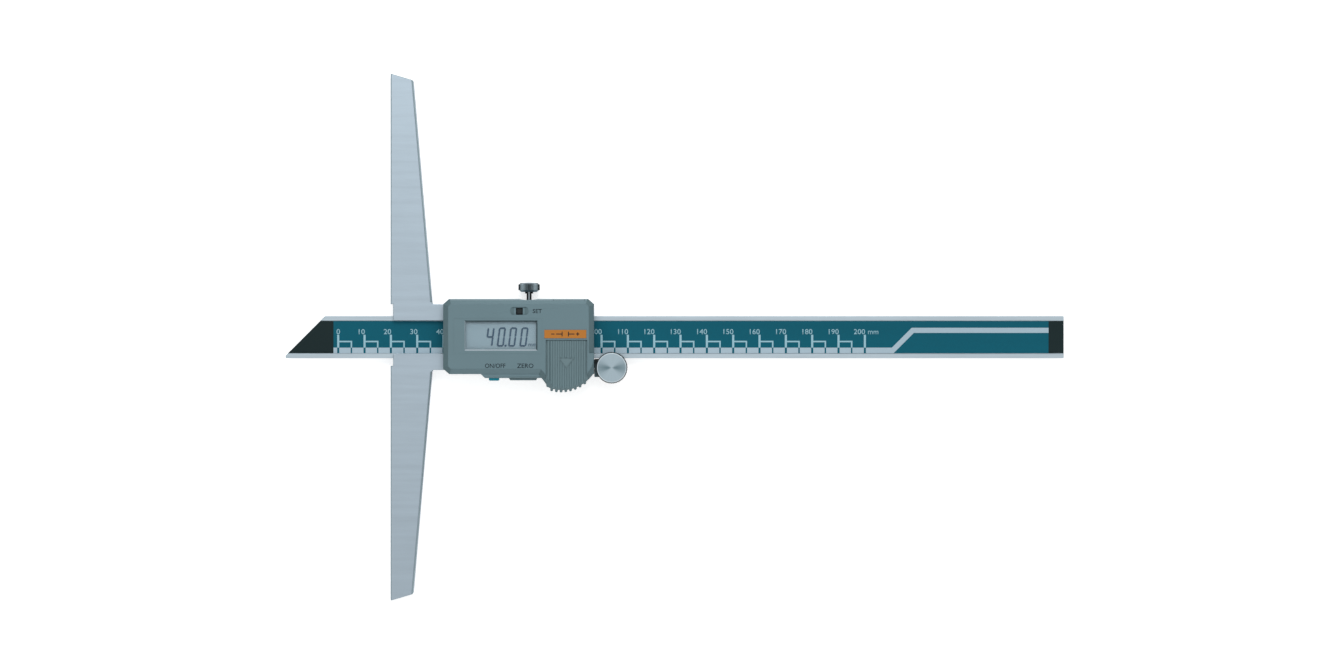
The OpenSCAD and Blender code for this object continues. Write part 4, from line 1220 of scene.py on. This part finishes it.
@dataclass
class Display(Assembly):
    """The display: bezel, window, panel, and figures that show the reading at rest."""

    reading: str = "40.00"
    cell_w: float = 2.05
    cell_h: float = 6.7
    stroke: float = 0.62
    gap: float = 0.12
    tips: float = 0.3
    tip_cut: float = 0.48
    pitch: float = 4.27
    slant: float = 7.0
    last_x: float = 49.35
    foot_y: float = -3.28
    dot_place: Tuple[float, float] = (43.8, 0.1)
    dot_w: float = 0.75
    dot_corner: float = 0.12
    figure_ink: float = 0.03
    unit: Label = Label("mm", (52.5, -3.45), 1.55, Align.LEFT, 1.0)
    unit_ink: float = 0.02
    unit_rise: float = 0.01
    lift: float = 0.00002
    shade_move: Point = (-0.0002, -0.00022, -0.000022)
    edge: float = 0.03
    upright: Box = ((20.0, -10.0, 15.0), (60.0, 10.0, 16.5))
    seam: float = 0.00004
    corner: float = 0.0006
    fill_out: float = 0.85
    wall: float = 0.0008
    high_wall: float = 0.0005
    lean: float = 0.3

    def build(self) -> None:
        """Dresses the display and sets its figures."""
        piece = self.soft_node("display_bezel", Finishes.case, self.edge, keep_out=[self.upright])
        self.square_up(piece)
        low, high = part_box("display_bezel")
        middle_x, middle_y, _ = middle_of("display_bezel")
        # Painted light on the window's slopes: highlight on the lower and left ones, shade on the upper and
        # right ones.
        Bench.tint(piece, Finishes.lit_slope, lambda place, normal: (
            normal.y > self.lean and low[1] + self.wall < place.y < middle_y))
        Bench.tint(piece, Finishes.side_slope, lambda place, normal: (
            normal.x > self.lean and low[0] + self.wall < place.x < middle_x))
        Bench.tint(piece, Finishes.dim_slope, lambda place, normal: (
            normal.y < -self.lean and middle_y < place.y < high[1] - self.high_wall
            or normal.x < -self.lean and middle_x < place.x < high[0] - self.wall))
        self.keep(Finishes.window, "display_window")
        self.keep(Finishes.panel, "lcd_module")
        self.keep(Finishes.zebra, "lcd_connectors")
        self.figures()

    def square_up(self, piece: bpy.types.Object) -> None:
        """Fills out the bezel's corners and widens it by the seam round it.

        Args:
            piece: The bezel's copy.
        """
        low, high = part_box("display_bezel")
        middles = middle_of("display_bezel")
        for vertex in piece.data.vertices:
            ends = [low[axis] if vertex.co[axis] < middles[axis] else high[axis] for axis in (0, 1)]
            gaps = [ends[axis] - vertex.co[axis] for axis in (0, 1)]
            if max(abs(gap) for gap in gaps) < self.corner:
                for axis in (0, 1):
                    vertex.co[axis] += self.fill_out * gaps[axis]
            for axis in (0, 1):
                if abs(ends[axis] - vertex.co[axis]) < self.seam:
                    vertex.co[axis] += self.seam if ends[axis] == high[axis] else -self.seam

    @staticmethod
    def strokes(figure: str) -> Sequence[Segment]:
        """Says which strokes of a figure are dark.

        Args:
            figure: The character.

        Returns:
            Its strokes.
        """
        s = Segment
        known = {
            "0": (s.TOP, s.HIGH_RIGHT, s.LOW_RIGHT, s.FOOT, s.LOW_LEFT, s.HIGH_LEFT),
            "4": (s.HIGH_LEFT, s.MIDDLE, s.HIGH_RIGHT, s.LOW_RIGHT),
        }
        return known[figure]

    def stroke_piece(self, length: float) -> bpy.types.Object:
        """Models a stroke of a length in millimetres, with pointed ends, lying along X at the origin."""
        size = (length * MM, self.stroke * MM, self.figure_ink * MM)
        return Bench.bar((0.0, 0.0, 0.0), size, self.stroke * MM * self.tip_cut)

    def figures(self) -> None:
        """Sets the reading, its point and the unit on the panel, with a painted shadow of them: a copy in a
        paler tone, set a little aside.
        """
        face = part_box("lcd_module")[1][2]
        flat = self.stroke_piece(self.cell_w - 2 * self.gap + self.tips)
        upright = self.stroke_piece(self.cell_h / 2 - 2 * self.gap + self.tips)
        pieces = []
        digits = self.reading.replace(".", "")
        places = [self.last_x - self.pitch * i for i in reversed(range(len(digits)))]
        for figure, x in zip(digits, places):
            for stroke in self.strokes(figure):
                share_x, share_y, lies = stroke.value
                part = Bench.copy(flat if lies else upright)
                turn = Matrix.Identity(4) if lies else Matrix.Rotation(math.pi / 2, 4, "Z")
                move = Matrix.Translation((x * MM + share_x * self.cell_w * MM,
                                           share_y * self.cell_h * MM, 0.0))
                part.data.transform(move @ turn)
                pieces.append(part)
        dot_x, dot_y = self.dot_place
        pieces.append(Bench.bar((dot_x * MM, dot_y * MM, 0.0), (self.dot_w * MM, self.dot_w * MM,
                                self.figure_ink * MM), self.dot_corner * MM))
        for spare in (flat, upright):
            bpy.data.objects.remove(spare)
        sheet = Bench.join(pieces, "display_figures")
        lean = Matrix.Identity(4)
        lean[0][1] = math.tan(math.radians(self.slant))
        sheet.data.transform(Matrix.Translation((0.0, self.foot_y * MM, face + self.lift)) @ lean)
        unit = Lettering(self.unit_ink).word(self.unit, face / MM + self.unit_rise)
        Bench.join([sheet, unit], "display_figures")
        # Painted shadow: a copy of the figures moved a little left, down and below them.
        shade = Bench.copy(sheet)
        shade.name = "display_shade"
        shade.data.transform(Matrix.Translation(self.shade_move))
        self.lay(sheet, Finishes.digit, "lcd_module")
        self.lay(shade, Finishes.ghost, "lcd_module")


@dataclass
class Electronics(Assembly):
    """Boards, chip, switches and socket inside the case."""

    def build(self) -> None:
        """Dresses the inner pieces."""
        self.keep(Finishes.board, "circuit_board", "sensor_board")
        self.keep(Finishes.black_plastic, "measuring_chip", "board_link", "button_switches", "set_switch",
                  "data_socket")


@dataclass
class BatteryCover(Assembly):
    """The ribbed cover that slides off the battery bay."""

    body: str = "battery_cover"
    crease: float = 40.0

    def build(self) -> None:
        """Dresses the cover, whose small ribs keep the edges that they have."""
        piece = Bench.merged_copy("battery_cover", "battery_cover_soft")
        Bench.shade(piece, self.crease)
        self.stand_for(piece, Finishes.cover, "battery_cover")


@dataclass
class BatteryBay(Assembly):
    """The coin cell and its contacts."""

    def build(self) -> None:
        """Dresses the cell and its contacts."""
        self.keep(Finishes.small_steel, "battery")
        self.keep(Finishes.gold, "battery_contact_positive", "battery_contact_negative")


@dataclass
class Key(Assembly):
    """A button, or the port's cover, with rounded edges."""

    node: str = ""
    finish: Finish = Finishes.case
    edge: float = 0.15

    def build(self) -> None:
        """Dresses the piece."""
        self.soft_node(self.node, self.finish, self.edge)


@dataclass
class ThumbWheel(Assembly):
    """The thumb wheel: turned face, knurled rim, shaft, roller and clip."""

    body: str = "thumb_wheel"
    edge: float = 0.03
    level: float = 0.95
    face_depth: float = 0.2
    shaft_top: float = 7.2

    def build(self) -> None:
        """Dresses the wheel and what turns with it."""
        piece = self.soft_node("thumb_wheel", Finishes.knurl, self.edge)
        x, y, _ = middle_of("thumb_wheel")
        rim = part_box("thumb_wheel")[1][2] - self.face_depth * MM
        # The face takes the wheel finish, with its painted reflection fans and painted highlights.
        Bench.tint(piece, replace(Finishes.wheel, centre=(x, y, 0.0)),
                   lambda place, normal: normal.z > self.level and place.z > rim)
        Bench.tint(piece, Finishes.stem, lambda place, normal: place.z < self.shaft_top * MM)
        self.keep(Finishes.roller, "drive_roller")
        self.keep(Finishes.screw, "wheel_clip")


@dataclass
class WheelBracket(Assembly):
    """The bracket that carries the thumb wheel."""

    edge: float = 0.1

    def build(self) -> None:
        """Dresses the bracket."""
        # The bracket's finish paints a shadow over its upper part.
        self.soft_node("wheel_bracket", Finishes.bracket, self.edge)


@dataclass
class LockScrew(Assembly):
    """The knurled lock screw."""

    body: str = "lock_screw"
    edge: float = 0.03
    cap: float = 0.6
    head: float = 3.7

    def build(self) -> None:
        """Dresses the screw: polished stem, knurled head."""
        low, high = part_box("lock_screw")
        axis_x, radius = (low[0] + high[0]) / 2, (high[0] - low[0]) / 2
        # The head, end and stem finishes paint highlight and shade across the screw's axis.
        knurl = replace(Finishes.lock_knurl, axis_x=axis_x, radius=radius)
        piece = self.soft_node("lock_screw", knurl, self.edge)
        Bench.tint(piece, replace(Finishes.lock_end, axis_x=axis_x, radius=radius),
                   lambda place, normal: place.y > high[1] - self.cap * MM)
        Bench.tint(piece, replace(Finishes.lock_stem, axis_x=axis_x),
                   lambda place, normal: place.y < high[1] - self.head * MM)


@dataclass
class Studio:
    """White floor, soft light from above and the camera over the gauge."""

    centre: Point = (0.1022, 0.0027, 0.0056)
    width: float = 0.5013
    lens: float = 150.0
    sensor: float = 36.0
    sky: Stops = ((0.0, 0.42), (0.35, 0.6), (0.6, 0.95), (0.8, 1.05), (0.92, 0.92), (1.0, 0.8))
    sky_strength: float = 0.92
    side_dim: float = 0.95
    floor_size: float = 6.0
    floor_z: float = -0.0002
    floor_tones: Tuple[float, float] = (0.86, 0.88)
    floor_clouds: Noise = Noise(3.0, 2.0)
    floor_glow: float = 0.62
    floor_mirror: float = 0.35
    lamp_place: Point = (0.1, 0.52, 0.95)
    lamp_size: Tuple[float, float] = (0.5, 0.4)
    lamp_energy: float = 3.2

    def build(self) -> None:
        """Sets up the studio."""
        self.floor()
        self.world()
        self.lamp()
        self.camera()
        bpy.context.scene.view_settings.view_transform = "Standard"

    def floor(self) -> None:
        """Lays a white floor that keeps the gauge's shadow."""
        Bench.clear()
        bpy.ops.mesh.primitive_plane_add(size=self.floor_size, location=(*self.centre[:2], self.floor_z))
        plane = bpy.context.object
        plane.name = "studio_floor"
        graph = Graph("white_floor")
        tone = graph.noise(graph.place(), self.floor_clouds)
        dim, bright = ((level, level, level, 1.0) for level in self.floor_tones)
        graph.set(Base_Color=graph.blend(tone, dim, bright), Roughness=0.9, Specular_IOR_Level=0.1)
        path = graph.add("ShaderNodeLightPath")
        mirrored = graph.maths("MAXIMUM", path.outputs["Is Glossy Ray"], path.outputs["Is Transmission Ray"])
        seen = graph.maths("ADD", graph.maths("MULTIPLY", path.outputs["Is Camera Ray"], self.floor_glow),
                           graph.maths("MULTIPLY", mirrored, self.floor_mirror))
        glow = graph.add("ShaderNodeEmission", Color=(1.0, 1.0, 1.0, 1.0))
        graph.join(seen, glow.inputs["Strength"])
        both = graph.add("ShaderNodeAddShader")
        graph.join(graph.shader.outputs[0], both.inputs[0])
        graph.join(glow.outputs[0], both.inputs[1])
        graph.join(both.outputs[0], graph.out.inputs["Surface"])
        plane.data.materials.append(graph.material)
        LOG.info("floor laid")

    def world(self) -> None:
        """Lights the scene with a soft dome, brightest high up and dimmer at the left and right."""
        world = bpy.data.worlds.new("studio_dome")
        bpy.context.scene.world = world
        tree = Tree(world)
        x, _, z = tree.split(tree.add("ShaderNodeTexCoord").outputs["Generated"])
        ramp = tree.add("ShaderNodeValToRGB")
        set_stops(ramp, [(place, (bright, bright, bright, 1.0)) for place, bright in self.sky])
        tree.join(z, ramp.inputs["Fac"])
        sky = tree.add("ShaderNodeBackground")
        tree.join(ramp.outputs["Color"], sky.inputs["Color"])
        tree.join(tree.maths("MULTIPLY_ADD", tree.maths("MULTIPLY", x, x), -self.side_dim * self.sky_strength,
                             self.sky_strength), sky.inputs["Strength"])
        tree.join(sky.outputs[0], tree.add("ShaderNodeOutputWorld").inputs["Surface"])
        LOG.info("dome lit")

    def lamp(self) -> None:
        """Hangs one soft lamp beyond the gauge's upper side, for a little direction."""
        light = bpy.data.lights.new("key_panel", "AREA")
        light.shape = "RECTANGLE"
        light.size, light.size_y = self.lamp_size
        light.energy = self.lamp_energy
        holder = bpy.data.objects.new("key_panel", light)
        bpy.context.scene.collection.objects.link(holder)
        holder.location = self.lamp_place
        aim = Vector(self.centre) - Vector(holder.location)
        holder.rotation_euler = aim.to_track_quat("-Z", "Y").to_euler()
        holder.visible_camera = False
        LOG.info("lamp hung")

    def camera(self) -> None:
        """Hangs the camera straight over the gauge, with the photograph's frame."""
        eye = bpy.data.cameras.new("plan_camera")
        eye.lens = self.lens
        eye.sensor_width = self.sensor
        holder = bpy.data.objects.new("plan_camera", eye)
        bpy.context.scene.collection.objects.link(holder)
        rise = self.width * self.lens / self.sensor
        holder.location = (self.centre[0], self.centre[1], self.centre[2] + rise)
        bpy.context.scene.camera = holder
        LOG.info("camera placed %.3f m above", rise)


def main() -> None:
    """Builds every sub-assembly in order."""
    logging.basicConfig(level=logging.INFO, format="%(name)s %(message)s")
    for assembly in (
        ReferenceBase(),
        DepthRod(),
        Housing(),
        Display(),
        Electronics(),
        BatteryBay(),
        BatteryCover(),
        Key("power_button", "power_button", Finishes.key_teal),
        Key("zero_button", "zero_button", Finishes.cover),
        Key("set_button", "set_button", Finishes.key_black, edge=0.1),
        Key("port_cover", "port_cover", Finishes.case, edge=0.12),
        ThumbWheel(),
        WheelBracket(),
        LockScrew(),
    ):
        assembly.build()
    Assembly("lock_pad").keep(Finishes.brass, "lock_pad")
    Studio().build()


if __name__ == "__main__":
    main()
